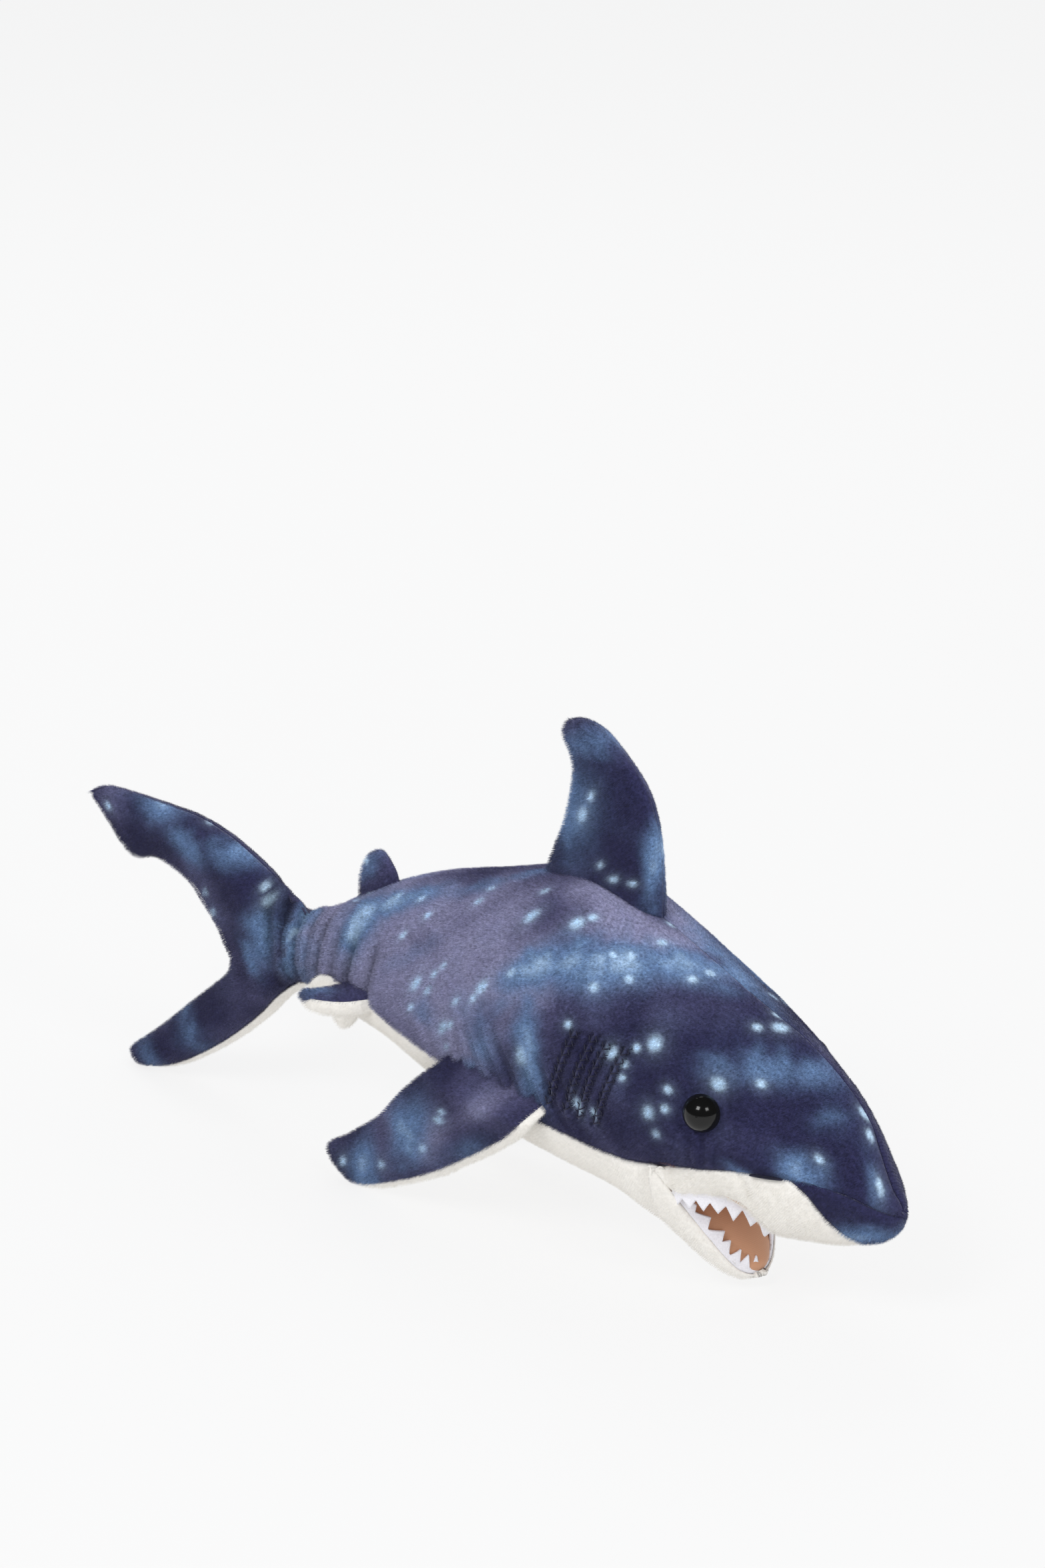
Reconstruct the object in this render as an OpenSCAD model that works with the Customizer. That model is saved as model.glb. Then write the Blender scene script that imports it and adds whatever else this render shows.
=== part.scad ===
// Plush shark: printed plush back, cream belly, open mouth with felt teeth.
// +X is the snout, +Y the shark's left, +Z up. Z = 0 is the surface it stands on,
// X = Y = 0 is the middle of its footprint.

/* [Cloth] */
// Thickness of the plush cloth with its pile
cloth = 2; // [1:0.1:2.5]
// Thickness of the felt that the teeth are cut from
felt = 1; // [0.6:0.1:1.5]
// Thickness of the smooth knit in the mouth
knit = 1; // [0.6:0.1:1.5]
// Gap between the cloth and the stuffing behind it
ease = 0.3; // [0.2:0.05:0.5]

/* [Body] */
// Factor on the width of the body
girth = 1; // [0.9:0.01:1.1]
// Angle that the pectoral fins lean in under the belly
pectoral_tuck = 8; // [4:1:9]
// Gap between a fin's root and the body
root_gap = 1.2; // [0.8:0.1:2]

/* [Fins] */
// Greatest half thickness of the dorsal fin's stuffing
dorsal_pad = 5.5; // [3:0.5:8]
// Greatest half thickness of a pectoral fin's stuffing
pectoral_pad = 4.5; // [3:0.5:6]
// Greatest half thickness of the padding in the small fins
small_pad = 2.5; // [1:0.5:3]

/* [Head] */
// Diameter of an eye's dome
eye_d = 14; // [10:0.5:16]
// Diameter of the shank behind an eye
shank_d = 4; // [3:0.5:5]
// Diameter of the lock washer on a shank
washer_d = 14; // [12:0.5:16]
// Depth of the upper teeth
tooth_h = 7; // [4:0.5:9]
// Width of one tooth
tooth_w = 6; // [4:0.5:9]
// Rows of gill stitching on each side
gill_rows = 4; // [3:1:5]
// Thickness of the stitching thread
thread = 0.9; // [0.5:0.1:1.2]

/* [Hidden] */

indigo = [0.20, 0.20, 0.42];
cream = [0.93, 0.90, 0.86];
tan_knit = [0.70, 0.48, 0.36];
white_felt = [0.93, 0.92, 0.95];
gloss_black = [0.03, 0.03, 0.03];
fibre = [0.85, 0.85, 0.82];

// Shift that stands the shark on Z = 0 with its footprint centred on the origin
stand = [1.3, 0, 0.6];
module placed() translate(stand) children();

// ---- Curves through tables: column 0 rises, column k is read at x ----
function cell(t, x, i = 0) = (i >= len(t) - 2 || x < t[i + 1][0]) ? i : cell(t, x, i + 1);
function slope(t, i, k) =
    let (a = max(0, i - 1), b = min(len(t) - 1, i + 1))
    (t[b][k] - t[a][k]) / (t[b][0] - t[a][0]);
function curve(t, x, k = 1) =
    let (i = cell(t, x), w = t[i + 1][0] - t[i][0], s = min(1, max(0, (x - t[i][0]) / w)))
    let (s2 = s * s, s3 = s2 * s)
    (2 * s3 - 3 * s2 + 1) * t[i][k] + (s3 - 2 * s2 + s) * w * slope(t, i, k)
    + (3 * s2 - 2 * s3) * t[i + 1][k] + (s3 - s2) * w * slope(t, i + 1, k);
function smooth(s) = s <= 0 ? 0 : s >= 1 ? 1 : s * s * (3 - 2 * s);
function steps(n) = [for (i = [0:n]) i / n];
function mix(a, b, s) = a + (b - a) * s;

// ---- Torso: x, top, bottom, half width, height of the widest place, boxiness below ----
torso = [[-80, 92.5, 59, 14, 75, 1], [-66, 98, 57, 17, 77, 1], [-50, 107, 56, 21.5, 79, 1],
         [-30, 117.5, 53, 27.5, 81, 1], [-10, 126, 46.5, 33, 82, 1], [15, 133.5, 38, 37.5, 83, 1],
         [40, 137.5, 31, 41, 83, 0.95], [65, 137, 26, 41.5, 82, 0.95], [92, 131.5, 18.5, 40, 79, 1],
         [104, 125.5, 30.5, 39, 76, 0.85], [116, 119, 43, 37.5, 73, 0.75], [122, 116, 42.5, 36.5, 72, 0.75],
         [138, 107.5, 38.5, 33.5, 69, 0.75], [154, 98, 31.5, 29, 65, 0.8], [170, 87, 30, 23.5, 60, 0.85],
         [182, 76.5, 31.5, 17.5, 55.5, 0.9], [191, 66.5, 35, 12, 52, 1], [197, 57.5, 39, 6.5, 49, 1],
         [199.6, 51, 43.5, 2.2, 47, 1]];
// Sharpness of the ridge: 1 is an ellipse
ridge = [[-80, 1], [0, 1.05], [90, 1.15], [140, 1.3], [199.6, 1.2]];
tail_cut = -80;
jaw_x = 116;
lip_front = 154;
lip_corner_y = 32;
snout_x = 199.6;
gusset_rear = 160;
gusset_front = 184;
palate_rise = 7;

// Height of the seam between the printed back and the cream belly or the snout gusset
seam = [[-80, 60], [-70, 69], [-61, 75], [-50, 75], [-30, 73], [-9, 68], [13, 63], [40, 58], [68, 55], [90, 52],
        [113, 53], [132, 57.5], [144, 59], [154, 58], [169, 55], [188, 53], [199.6, 47]];
// Height of the front edge of the cream lip, under the snout gusset
lip_edge = [[160, 57], [169, 48], [177, 40], [184, 33.5]];

function low_part(x) = curve(torso, x, 4) - curve(torso, x, 2);
function angle_at(x, z) =
    let (down = (curve(torso, x, 4) - z) / low_part(x))
    90 + asin(min(1, pow(max(0, down), 1 / curve(torso, x, 5))));
function side_angle(x, z) =
    let (zw = curve(torso, x, 4))
    z > zw ? acos(pow((z - zw) / (curve(torso, x, 1) - zw), 1 / curve(ridge, x))) : angle_at(x, z);
function seam_angle(x) = side_angle(x, curve(seam, x));
function lip_half_width(x) =
    x < jaw_x ? lip_corner_y : lip_corner_y * sqrt(max(0, 1 - pow((x - jaw_x) / (lip_front - jaw_x), 2)));
function lip_angle(x) =
    x >= lip_front ? 180
    : 180 - asin(min(1, pow(lip_half_width(x) / (girth * curve(torso, x, 3)), 1 / curve(torso, x, 5))));
function cream_front_angle(x) = x >= gusset_front ? 180 : max(seam_angle(x), angle_at(x, curve(lip_edge, x)));

// A place on the torso: station x, angle from the ridge (0) to the keel (180), depth inwards
function torso_at(x, a, depth = 0) =
    let (top = curve(torso, x, 1), bottom = curve(torso, x, 2), wide = curve(torso, x, 4))
    let (e = a > 90 ? curve(torso, x, 5) : 1, w = girth * curve(torso, x, 3) - depth)
    let (in_mouth = x > jaw_x && x < lip_front ? max(0, (a - lip_angle(x)) / (180.01 - lip_angle(x))) : 0)
    let (rise = palate_rise * sin(90 * min(1, in_mouth)) * smooth((lip_front - x) / 12))
    [x, -max(0.4, w) * pow(sin(min(a, 180)), e),
     a <= 90 ? wide + (top - wide - depth) * pow(cos(a), curve(ridge, x))
     : wide - max(0.4, wide - bottom - depth) * pow(-cos(a), e) + rise];

// ---- Closed skins between an outer and an inner grid of points ----
function flat(grid) = [for (row = grid) each row];
function quad(a, b, c, d) = [[a, b, c], [a, c, d]];
module skin(outer, inner) {
    n = len(outer);
    m = len(outer[0]);
    o = n * m;
    last = (n - 1) * m;
    polyhedron(concat(flat(outer), flat(inner)), [
        for (i = [0:n - 2], j = [0:m - 2]) each
            quad(i * m + j, i * m + j + 1, (i + 1) * m + j + 1, (i + 1) * m + j),
        for (i = [0:n - 2], j = [0:m - 2]) each
            quad(o + (i + 1) * m + j, o + (i + 1) * m + j + 1, o + i * m + j + 1, o + i * m + j),
        for (i = [0:n - 2]) each quad(i * m, (i + 1) * m, o + (i + 1) * m, o + i * m),
        for (i = [0:n - 2]) each
            quad((i + 1) * m + m - 1, i * m + m - 1, o + i * m + m - 1, o + (i + 1) * m + m - 1),
        for (j = [0:m - 2]) each quad(j + 1, j, o + j, o + j + 1),
        for (j = [0:m - 2]) each quad(last + j, last + j + 1, o + last + j + 1, o + last + j)]);
}
// A solid through closed rings of points
module lofted(rings) {
    n = len(rings);
    m = len(rings[0]);
    polyhedron(flat(rings), [
        for (i = [0:n - 2], j = [0:m - 1]) each
            quad(i * m + j, i * m + (j + 1) % m, (i + 1) * m + (j + 1) % m, (i + 1) * m + j),
        [for (j = [m - 1:-1:0]) j],
        [for (j = [0:m - 1]) (n - 1) * m + j]]);
}
module left_side() mirror([0, 1, 0]) children();

// ---- Torso panels ----
function stations(a, b, n) = [for (s = steps(n)) mix(a, b, s)];
belly_x = stations(tail_cut, jaw_x, 22);
lip_x = concat(stations(jaw_x + 0.01, lip_front - 4, 10), [lip_front - 2, lip_front - 0.6, lip_front]);
front_x = stations(gusset_rear + 1, gusset_front, 7);
bridge_x = lip_front + 3.5;
nose_x = [188, 192, 195.5, 198, snout_x];
back_x = concat(belly_x, [for (x = lip_x) if (x > jaw_x + 1) x], [bridge_x], front_x, nose_x);
module torso_patch(xs, from, to, n, thick) {
    skin([for (i = [0:len(xs) - 1]) [for (s = steps(n)) torso_at(xs[i], mix(from[i], to[i], s))]],
         [for (i = [0:len(xs) - 1]) [for (s = steps(n)) torso_at(xs[i], mix(from[i], to[i], s), thick)]]);
}
eye_x = 133.5;
eye_z = 78.7;
eye_spot = torso_at(eye_x, side_angle(eye_x, eye_z));
eye_yaw = 20;
eye_pitch = 12;
module at_eye() translate(eye_spot) rotate([0, 0, eye_yaw]) rotate([90 - eye_pitch, 0, 0]) children();
shank_len = 13;
washer_t = 1.5;
washer_depth = cloth + 1.5;
module eye_bore(depth) at_eye() {
    translate([0, 0, -depth]) cylinder(h = depth + 10, d = shank_d + 0.3, $fn = 32);
    translate([0, 0, dome_lift - 1]) cylinder(h = 10, d = eye_d + 0.4, $fn = 48);
}

module back_panel() {
    color(indigo) difference() {
        torso_patch(back_x, [for (x = back_x) 0], [for (x = back_x) seam_angle(x)], 9, cloth);
        eye_bore(8);
    }
}
module belly_panel() {
    from = [for (x = belly_x) seam_angle(x)];
    function ring(x, from, depth) = [for (s = [-1:0.125:1])
        let (p = torso_at(x, 180 - (180 - from) * abs(s), depth)) [p[0], s > 0 ? -p[1] : p[1], p[2]]];
    color(cream) skin([for (i = [0:len(belly_x) - 1]) ring(belly_x[i], from[i], 0)],
                      [for (i = [0:len(belly_x) - 1]) ring(belly_x[i], from[i], cloth)]);
}
module both_sides(xs, from, to, n, thick) {
    function ring(i, depth) = [for (s = [-n:n])
        let (p = torso_at(xs[i], mix(to[i], from[i], abs(s) / n), depth)) [p[0], s > 0 ? -p[1] : p[1], p[2]]];
    skin([for (i = [0:len(xs) - 1]) ring(i, 0)], [for (i = [0:len(xs) - 1]) ring(i, thick)]);
}
lip_front_x = concat([lip_front, bridge_x], front_x);
module upper_lip_panel() {
    function lip_top(x) = x < gusset_rear ? seam_angle(x) : cream_front_angle(x);
    color(cream) {
        for (m = [0, 1]) mirror([0, m, 0])
            torso_patch(lip_x, [for (x = lip_x) lip_top(x)], [for (x = lip_x) lip_angle(x) - 0.01], 6, cloth);
        both_sides(lip_front_x, [for (x = lip_front_x) lip_top(x)], [for (x = lip_front_x) 180], 8, cloth);
    }
}
seam_gap = 0.3;
module snout_gusset() {
    under_x = concat([gusset_front], nose_x);
    color(indigo) {
        for (m = [0, 1]) mirror([0, m, 0])
            torso_patch(front_x, [for (x = front_x) seam_angle(x)],
                        [for (x = front_x) cream_front_angle(x) - seam_gap], 6, cloth);
        both_sides(under_x, [for (x = under_x) seam_angle(x)], [for (x = under_x) 180], 6, cloth);
    }
}
module palate_lining() {
    color(tan_knit) both_sides(lip_x, [for (x = lip_x) min(179.5, lip_angle(x) + 0.02)],
                               [for (x = lip_x) 180], 6, knit);
}
stuffing_sides = 24;
stuffing_inset = 0.8;
mouth_inset = 5.5;
module body_stuffing() {
    xs = [for (x = back_x) if (x < 196) max(x, tail_cut + 0.5)];
    ring = [for (k = [0:stuffing_sides - 1]) k * 360 / stuffing_sides];
    function in_mouth(x, a) = a > 90 && a < 270 && x > jaw_x - 8 && x < lip_front + 4;
    function inset(x, a) = cloth + ease + (in_mouth(x, a) ? mouth_inset : stuffing_inset);
    color(fibre) difference() {
        lofted([for (x = xs) [for (a = ring)
            let (p = torso_at(x, a > 180 ? 360 - a : a, inset(x, a))) [p[0], a > 180 ? -p[1] : p[1], p[2]]]]);
        for (m = [0, 1]) mirror([0, m, 0]) {
            eye_bore(shank_len + 0.5);
            at_eye() translate([0, 0, -washer_depth - washer_t - 0.3])
                cylinder(h = washer_t + 0.6, d = washer_d + 0.6, $fn = 48);
        }
    }
}

// ---- Eyes: a dome with a flat back and a shank, held inside by a lock washer ----
dome_h = 6;
dome_lift = 0.3;
module eye() {
    sphere_r = (eye_d * eye_d / 4 + dome_h * dome_h) / (2 * dome_h);
    color(gloss_black) at_eye() translate([0, 0, dome_lift]) rotate_extrude($fn = 64)
        union() {
            intersection() {
                translate([0, dome_h - sphere_r]) circle(r = sphere_r, $fn = 96);
                square([eye_d / 2, dome_h]);
            }
            translate([0, -0.8]) square([eye_d / 2 - 0.6, 0.8]);
            translate([0, -shank_len]) square([shank_d / 2, shank_len]);
        }
}
module eye_washer() {
    color("white") at_eye() translate([0, 0, -washer_depth - washer_t]) difference() {
        cylinder(h = washer_t, d = washer_d, $fn = 48);
        translate([0, 0, -1]) cylinder(h = washer_t + 2, d = shank_d + 0.1, $fn = 32);
    }
}

// ---- Thread on the surface: a square thread through points, lifted off the cloth ----
module thread_run(points, lift) {
    h = thread / 2;
    lofted([for (p = points) [for (c = [[-h, 0], [h, 0], [h, thread], [-h, thread]])
        [p[0] + c[0], p[1] - lift - c[1], p[2]]]]);
}
gill_front = 103;
gill_pitch = 8;
gill_slant = -11;
gill_top = 97;
gill_stitches = 9;
module gill_stitching() {
    color([0.1, 0.1, 0.25]) for (r = [0:gill_rows - 1])
        thread_run([for (k = [0:2 * gill_stitches])
            let (z = gill_top - k * 1.75, x = gill_front - r * gill_pitch + gill_slant * k / 18)
            torso_at(x + (k % 2) * 2.4, side_angle(x, z))], 0.35);
}
module nostril() {
    color([0.08, 0.08, 0.12]) thread_run([for (s = steps(6))
        let (x = mix(150, 163, s)) torso_at(x, side_angle(x, curve(seam, x) + 0.4))], 0.4);
}

// ---- Teeth: a felt band with a zigzag edge round the lip ----
lip_width = 28;
upper_count = 4 * floor(lip_width / tooth_w);
module upper_teeth() {
    arc = [for (s = steps(2 * upper_count)) mix(-78, 78, s)];
    lip = [for (t = arc) let (x = jaw_x + (lip_front - jaw_x - 2.5) * cos(t))
        [x, -(lip_corner_y - 3) * sin(t), curve(torso, x, 2) + 1]];
    function drop(i) = (i % 2 == 0 ? 2 : tooth_h) * mix(0.4, 1, cos(arc[i]));
    color(white_felt) skin(
        [for (i = [0:len(arc) - 1]) [lip[i], lip[i] - [0, 0, drop(i)]]],
        [for (i = [0:len(arc) - 1]) let (n = [cos(arc[i]), -sin(arc[i]), 0] * felt)
            [lip[i] - n, lip[i] - n - [0, 0, drop(i)]]]);
}

// ---- Lower jaw: x, rim height, bottom, half width ----
jaw = [[96, 17.5, 14.5, 7], [102, 24, 11, 13], [109, 31.5, 7.5, 19], [119, 42.3, 3.5, 28.5],
       [124, 33.5, 1.5, 25.5], [129, 24, 0.3, 21], [133, 16, 0.8, 16.5], [136, 9.8, 2.6, 12], [138.5, 6.6, 4.4, 6]];
jaw_steps = concat(stations(96, 119, 10), stations(120.5, 138.5, 12));
lining_dip = 9;
function jaw_width(x) = girth * curve(jaw, x, 3);
function jaw_under(x, b, depth) =
    [x, max(0.4, jaw_width(x) - depth) * sin(b),
     curve(jaw, x, 1) - max(0.3, curve(jaw, x, 1) - curve(jaw, x, 2) - depth) * pow(cos(b), 1.2)];
function jaw_dip(x) = lining_dip * smooth((x - 112) / 10) * smooth((140 - x) / 14);
function jaw_over(x, b, depth) =
    let (w = max(0.4, jaw_width(x) - cloth - 0.2), drop = curve(jaw, x, 1) - curve(jaw, x, 2) - cloth)
    [x, w * sin(b), curve(jaw, x, 1) - min(max(0, drop - 0.6 - knit), jaw_dip(x)) * cos(b) - depth];
module jaw_cover() {
    color(cream) skin([for (x = jaw_steps) [for (b = [-90:12:90]) jaw_under(x, b, 0)]],
                      [for (x = jaw_steps) [for (b = [-90:12:90]) jaw_under(x, b, cloth)]]);
}
module jaw_lining() {
    xs = [for (x = jaw_steps) if (x > 100 && x < 138) x];
    color(tan_knit) mirror([0, 1, 0]) skin(
        [for (x = xs) [for (b = [-90:15:90]) jaw_over(x, b, 0)]],
        [for (x = xs) [for (b = [-90:15:90]) jaw_over(x, b, knit)]]);
}
module jaw_stuffing() {
    xs = [for (x = jaw_steps) if (x > 102 && x < 135) x];
    color(fibre) skin([for (x = xs) [for (b = [-72:12:72]) jaw_under(x, b, cloth + ease)]],
                      [for (x = xs) [for (b = [-72:12:72]) jaw_over(x, b, knit + ease)]]);
}
lower_count = 9;
module lower_teeth() {
    side = [for (i = [0:2 * lower_count]) let (x = mix(122.5, 137.2, sqrt(i / 2 / lower_count)))
        [x, max(0, jaw_width(x) - cloth - 2), curve(jaw, x, 1) + 0.4]];
    n = len(side);
    rim = concat([for (p = side) [p[0], -p[1], p[2]]], [for (i = [n - 2:-1:0]) side[i]]);
    function rise(i) = (i % 2 == 0 ? 1.5 : tooth_h - 2) * mix(0.5, 1, min(i, 2 * n - 2 - i) / n);
    up = [0.9, 0, 0.44];
    function inner(p) = [p[0] - felt * 0.6, p[1] - sign(p[1]) * felt, p[2] - 0.3];
    color(white_felt) mirror([0, 1, 0]) skin(
        [for (i = [0:len(rim) - 1]) [rim[i] + up * rise(i), rim[i]]],
        [for (i = [0:len(rim) - 1]) [inner(rim[i]) + up * rise(i), inner(rim[i])]]);
}

// ---- Fins: rows from root to tip, each [leading x, leading z, trailing x, trailing z] ----
function fin_row(rows, u, k) =
    let (t = [for (i = [0:len(rows) - 1]) [i / (len(rows) - 1), rows[i][k]]]) curve(t, u);
function fin_pad(pad, u, v) = pad * sqrt(max(0, 4 * v * (1 - v))) * min(1, sqrt(u / 0.15))
    * (1 - 0.45 * u) * sqrt(min(1, (1 - u) / 0.12));
function fin_at(rows, u, v, y) =
    [mix(fin_row(rows, u, 0), fin_row(rows, u, 2), v), y, mix(fin_row(rows, u, 1), fin_row(rows, u, 3), v)];
fin_cloth = 1.5;
// The face of a fin that looks along -Y, when its rows run upwards
module fin_face(rows, pad, nu = 9, nv = 8) {
    skin([for (v = steps(nv)) [for (u = steps(nu)) fin_at(rows, u, v, -fin_cloth - fin_pad(pad, u, v))]],
         [for (v = steps(nv)) [for (u = steps(nu)) fin_at(rows, u, v, -fin_pad(pad, u, v))]]);
}
module fin_core(rows, pad) {
    lofted([for (u = stations(0.1, 0.9, 7)) concat(
        [for (v = stations(0.1, 0.9, 7)) fin_at(rows, u, v, ease - fin_pad(pad, u, v))],
        [for (v = stations(0.9, 0.1, 7)) fin_at(rows, u, v, fin_pad(pad, u, v) - ease)])]);
}

dorsal_rows = [[90.5, 138, 33, 138], [90, 147, 37, 146], [88, 160.5, 43, 157], [84, 174, 47.5, 170],
               [77.5, 184, 49, 180], [68.5, 192, 46.5, 187], [58.5, 197, 44, 192.5], [51, 198.7, 45, 196.5]];
module dorsal_face() {
    color(indigo) translate([0, 0, root_gap]) fin_face(dorsal_rows, dorsal_pad);
}
module dorsal_stuffing() {
    color(fibre) translate([0, 0, root_gap]) fin_core(dorsal_rows, dorsal_pad);
}

second_dorsal_rows = [[-38, 112.3, -56, 103.8], [-39.5, 115.5, -56, 107.3], [-42, 119, -55.5, 111.5],
                      [-45, 121.5, -53.5, 116], [-48, 122, -51.5, 119.5]];
module second_dorsal_face() {
    color(indigo) translate([0, 0, root_gap + 1]) fin_face(second_dorsal_rows, small_pad, 6, 6);
}

anal_rows = [[-59, 55, -72, 56], [-61, 51.5, -71.5, 52], [-63.5, 48.5, -70, 49], [-66, 47, -68, 47.2]];
module anal_face() {
    color(cream) translate([0, 0, -root_gap]) fin_face(anal_rows, small_pad, 5, 6);
}

// Pectoral fin: rows run down from the root line, before it is leaned in under the belly
pectoral_rows = [[51, 0, 0, 6], [43, -9, -9, -2], [32.5, -18.5, -17, -9.5], [21.5, -28, -24.5, -17.5],
                 [9, -37, -32, -25.5], [-6, -45.5, -42.5, -33.5], [-23, -53, -52, -40.5], [-39, -57.5, -59.5, -45],
                 [-50, -58.2, -63, -48], [-57, -56.5, -63.5, -51]];
pectoral_root = [15, -39, 60];
pectoral_splay = 3.5;
module at_pectoral() {
    translate(pectoral_root - [0, root_gap, 0]) rotate([0, 0, -pectoral_splay]) rotate([pectoral_tuck, 0, 0])
        children();
}
module pectoral_top() { color(indigo) at_pectoral() fin_face(pectoral_rows, pectoral_pad); }
module pectoral_underside() {
    color(cream) at_pectoral() left_side() fin_face(pectoral_rows, pectoral_pad);
}
module pectoral_stuffing() { color(fibre) at_pectoral() fin_core(pectoral_rows, pectoral_pad); }

// Pelvic fin: rows run outwards from the root line, drooping a little
pelvic_rows = [[0, 0, -17, 0], [-4, -5, -19.5, -3.5], [-10, -9, -22.5, -6.5], [-17, -11.5, -25.5, -9],
               [-22.5, -12, -27, -10.5]];
pelvic_root = [-31, -26, 73];
pelvic_droop = 8;
module at_pelvic() {
    translate(pelvic_root - [0, root_gap, 0]) rotate([0, 0, -10]) rotate([pelvic_droop - 90, 0, 0]) children();
}
module pelvic_top() { color(indigo) at_pelvic() fin_face(pelvic_rows, small_pad, 6, 6); }
module pelvic_underside() { color(cream) at_pelvic() left_side() fin_face(pelvic_rows, small_pad, 6, 6); }

// ---- Tail: rows from the upper tip, round the fork, to the lower tip;
// each [leading x, leading z, trailing x, trailing z, openness of the leading edge] ----
tail_rows = [[-202.2, 113.2, -200, 110.5, 0], [-192, 116.5, -190.5, 102, 0], [-178, 117.5, -179, 89, 0],
             [-160, 117.5, -164.5, 91.5, 0], [-143, 117, -148, 86, 0], [-127, 113, -139.5, 78.5, 0],
             [-111, 106, -132.5, 70.5, 0], [-97, 98.5, -129, 63.5, 0.1], [-84.5, 91.5, -127, 60, 0.2],
             [-83, 84, -126.5, 59, 0.85], [-83, 75, -126.5, 58, 1], [-83, 66, -127, 56.5, 0.85],
             [-84.5, 60, -128, 54, 0.2], [-95, 51.5, -131.5, 50, 0.1], [-106, 40, -138, 44.5, 0],
             [-122, 26, -149.5, 34.5, 0], [-139, 13.5, -162.5, 23, 0], [-156, 4.5, -174.5, 13, 0],
             [-171, 0.8, -183.5, 5.5, 0], [-179, 0.4, -185, 2.2, 0]];
tail_width = [[-202, 1.5], [-190, 3.5], [-160, 5], [-130, 6.5], [-110, 9], [-95, 11], [-83, 12]];
tail_last = len(tail_rows) - 1;
tail_swing = 21;
gusset_row = 11.6;
function tail_pad(u, v) =
    let (open = fin_row(tail_rows, u, 4), x = mix(fin_row(tail_rows, u, 0), fin_row(tail_rows, u, 2), v))
    let (k = u * tail_last, tip = min(1, sqrt(min(k, tail_last - k) / 1.5)))
    let (across = v < 0.35 ? open + (1 - open) * sin(90 * v / 0.35) : pow(cos(90 * (v - 0.35) / 0.65), 0.8))
    tip * across * curve(tail_width, x);
function tail_at(u, v, y) =
    let (wedge = abs(y) * tan(tail_swing + 2) * fin_row(tail_rows, u, 4) * (1 - smooth(v / 0.25)))
    fin_at(tail_rows, u, v, y) - [wedge, 0, 0];
function strip_edge(u) = 0.14 * smooth((u * tail_last - gusset_row) * 1.5);
module tail_panel() {
    nu = 30;
    function place(u, s, h) = let (v = mix(strip_edge(u), 1, s)) tail_at(u, v, -h - tail_pad(u, v));
    color(indigo) skin([for (u = steps(nu)) [for (s = steps(9)) place(u, s, cloth)]],
                       [for (u = steps(nu)) [for (s = steps(9)) place(u, s, 0)]]);
}
strip_share = 0.94;
module tail_gusset() {
    us = stations((gusset_row + 0.5) / tail_last, 0.985, 16);
    function ring(u, h) = [for (s = [-1:0.25:1])
        let (v = strip_edge(u) * abs(s) * strip_share, p = tail_at(u, v, -h - max(0.2, tail_pad(u, v))))
        [p[0] + (s == 0 ? 0.7 * h : 0), -sign(s) * p[1], p[2] - (s == 0 ? 0.5 * h : 0)]];
    color(cream) skin([for (u = us) ring(u, cloth)], [for (u = us) ring(u, 0)]);
}
module tail_stuffing() {
    us = stations(0.05, 0.95, 30);
    vs = stations(0.08, 0.9, 8);
    function edge(u, s) = mix(max(s, 0), 1, strip_edge(u));
    color(fibre) lofted([for (u = us) concat(
        [for (s = vs) let (v = edge(u, s)) tail_at(u, v, ease - tail_pad(u, v))],
        [for (i = [len(vs) - 1:-1:0]) let (v = edge(u, vs[i])) tail_at(u, v, tail_pad(u, v) - ease)])]);
}

placed() back_panel();  // back_panel_right
placed() left_side() back_panel();  // back_panel_left
placed() belly_panel();
placed() snout_gusset();
placed() upper_lip_panel();
placed() palate_lining();
placed() upper_teeth();
placed() body_stuffing();
placed() eye();  // eye_right
placed() left_side() eye();  // eye_left
placed() eye_washer();  // eye_washer_right
placed() left_side() eye_washer();  // eye_washer_left
placed() nostril();  // nostril_right
placed() left_side() nostril();  // nostril_left
placed() gill_stitching();  // gill_stitching_right
placed() left_side() gill_stitching();  // gill_stitching_left
placed() jaw_cover();
placed() jaw_lining();
placed() lower_teeth();
placed() jaw_stuffing();
placed() dorsal_face();  // dorsal_face_right
placed() left_side() dorsal_face();  // dorsal_face_left
placed() dorsal_stuffing();
placed() pectoral_top();  // pectoral_top_right
placed() pectoral_underside();  // pectoral_underside_right
placed() pectoral_stuffing();  // pectoral_stuffing_right
placed() left_side() pectoral_top();  // pectoral_top_left
placed() left_side() pectoral_underside();  // pectoral_underside_left
placed() left_side() pectoral_stuffing();  // pectoral_stuffing_left
placed() pelvic_top();  // pelvic_top_right
placed() pelvic_underside();  // pelvic_underside_right
placed() left_side() pelvic_top();  // pelvic_top_left
placed() left_side() pelvic_underside();  // pelvic_underside_left
placed() second_dorsal_face();  // second_dorsal_right
placed() left_side() second_dorsal_face();  // second_dorsal_left
placed() anal_face();  // anal_fin_right
placed() left_side() anal_face();  // anal_fin_left
placed() tail_panel();  // tail_panel_right
placed() left_side() tail_panel();  // tail_panel_left
placed() tail_gusset();
placed() tail_stuffing();
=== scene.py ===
"""Plush shark: printed plush back, cream belly, open mouth with felt teeth."""

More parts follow.
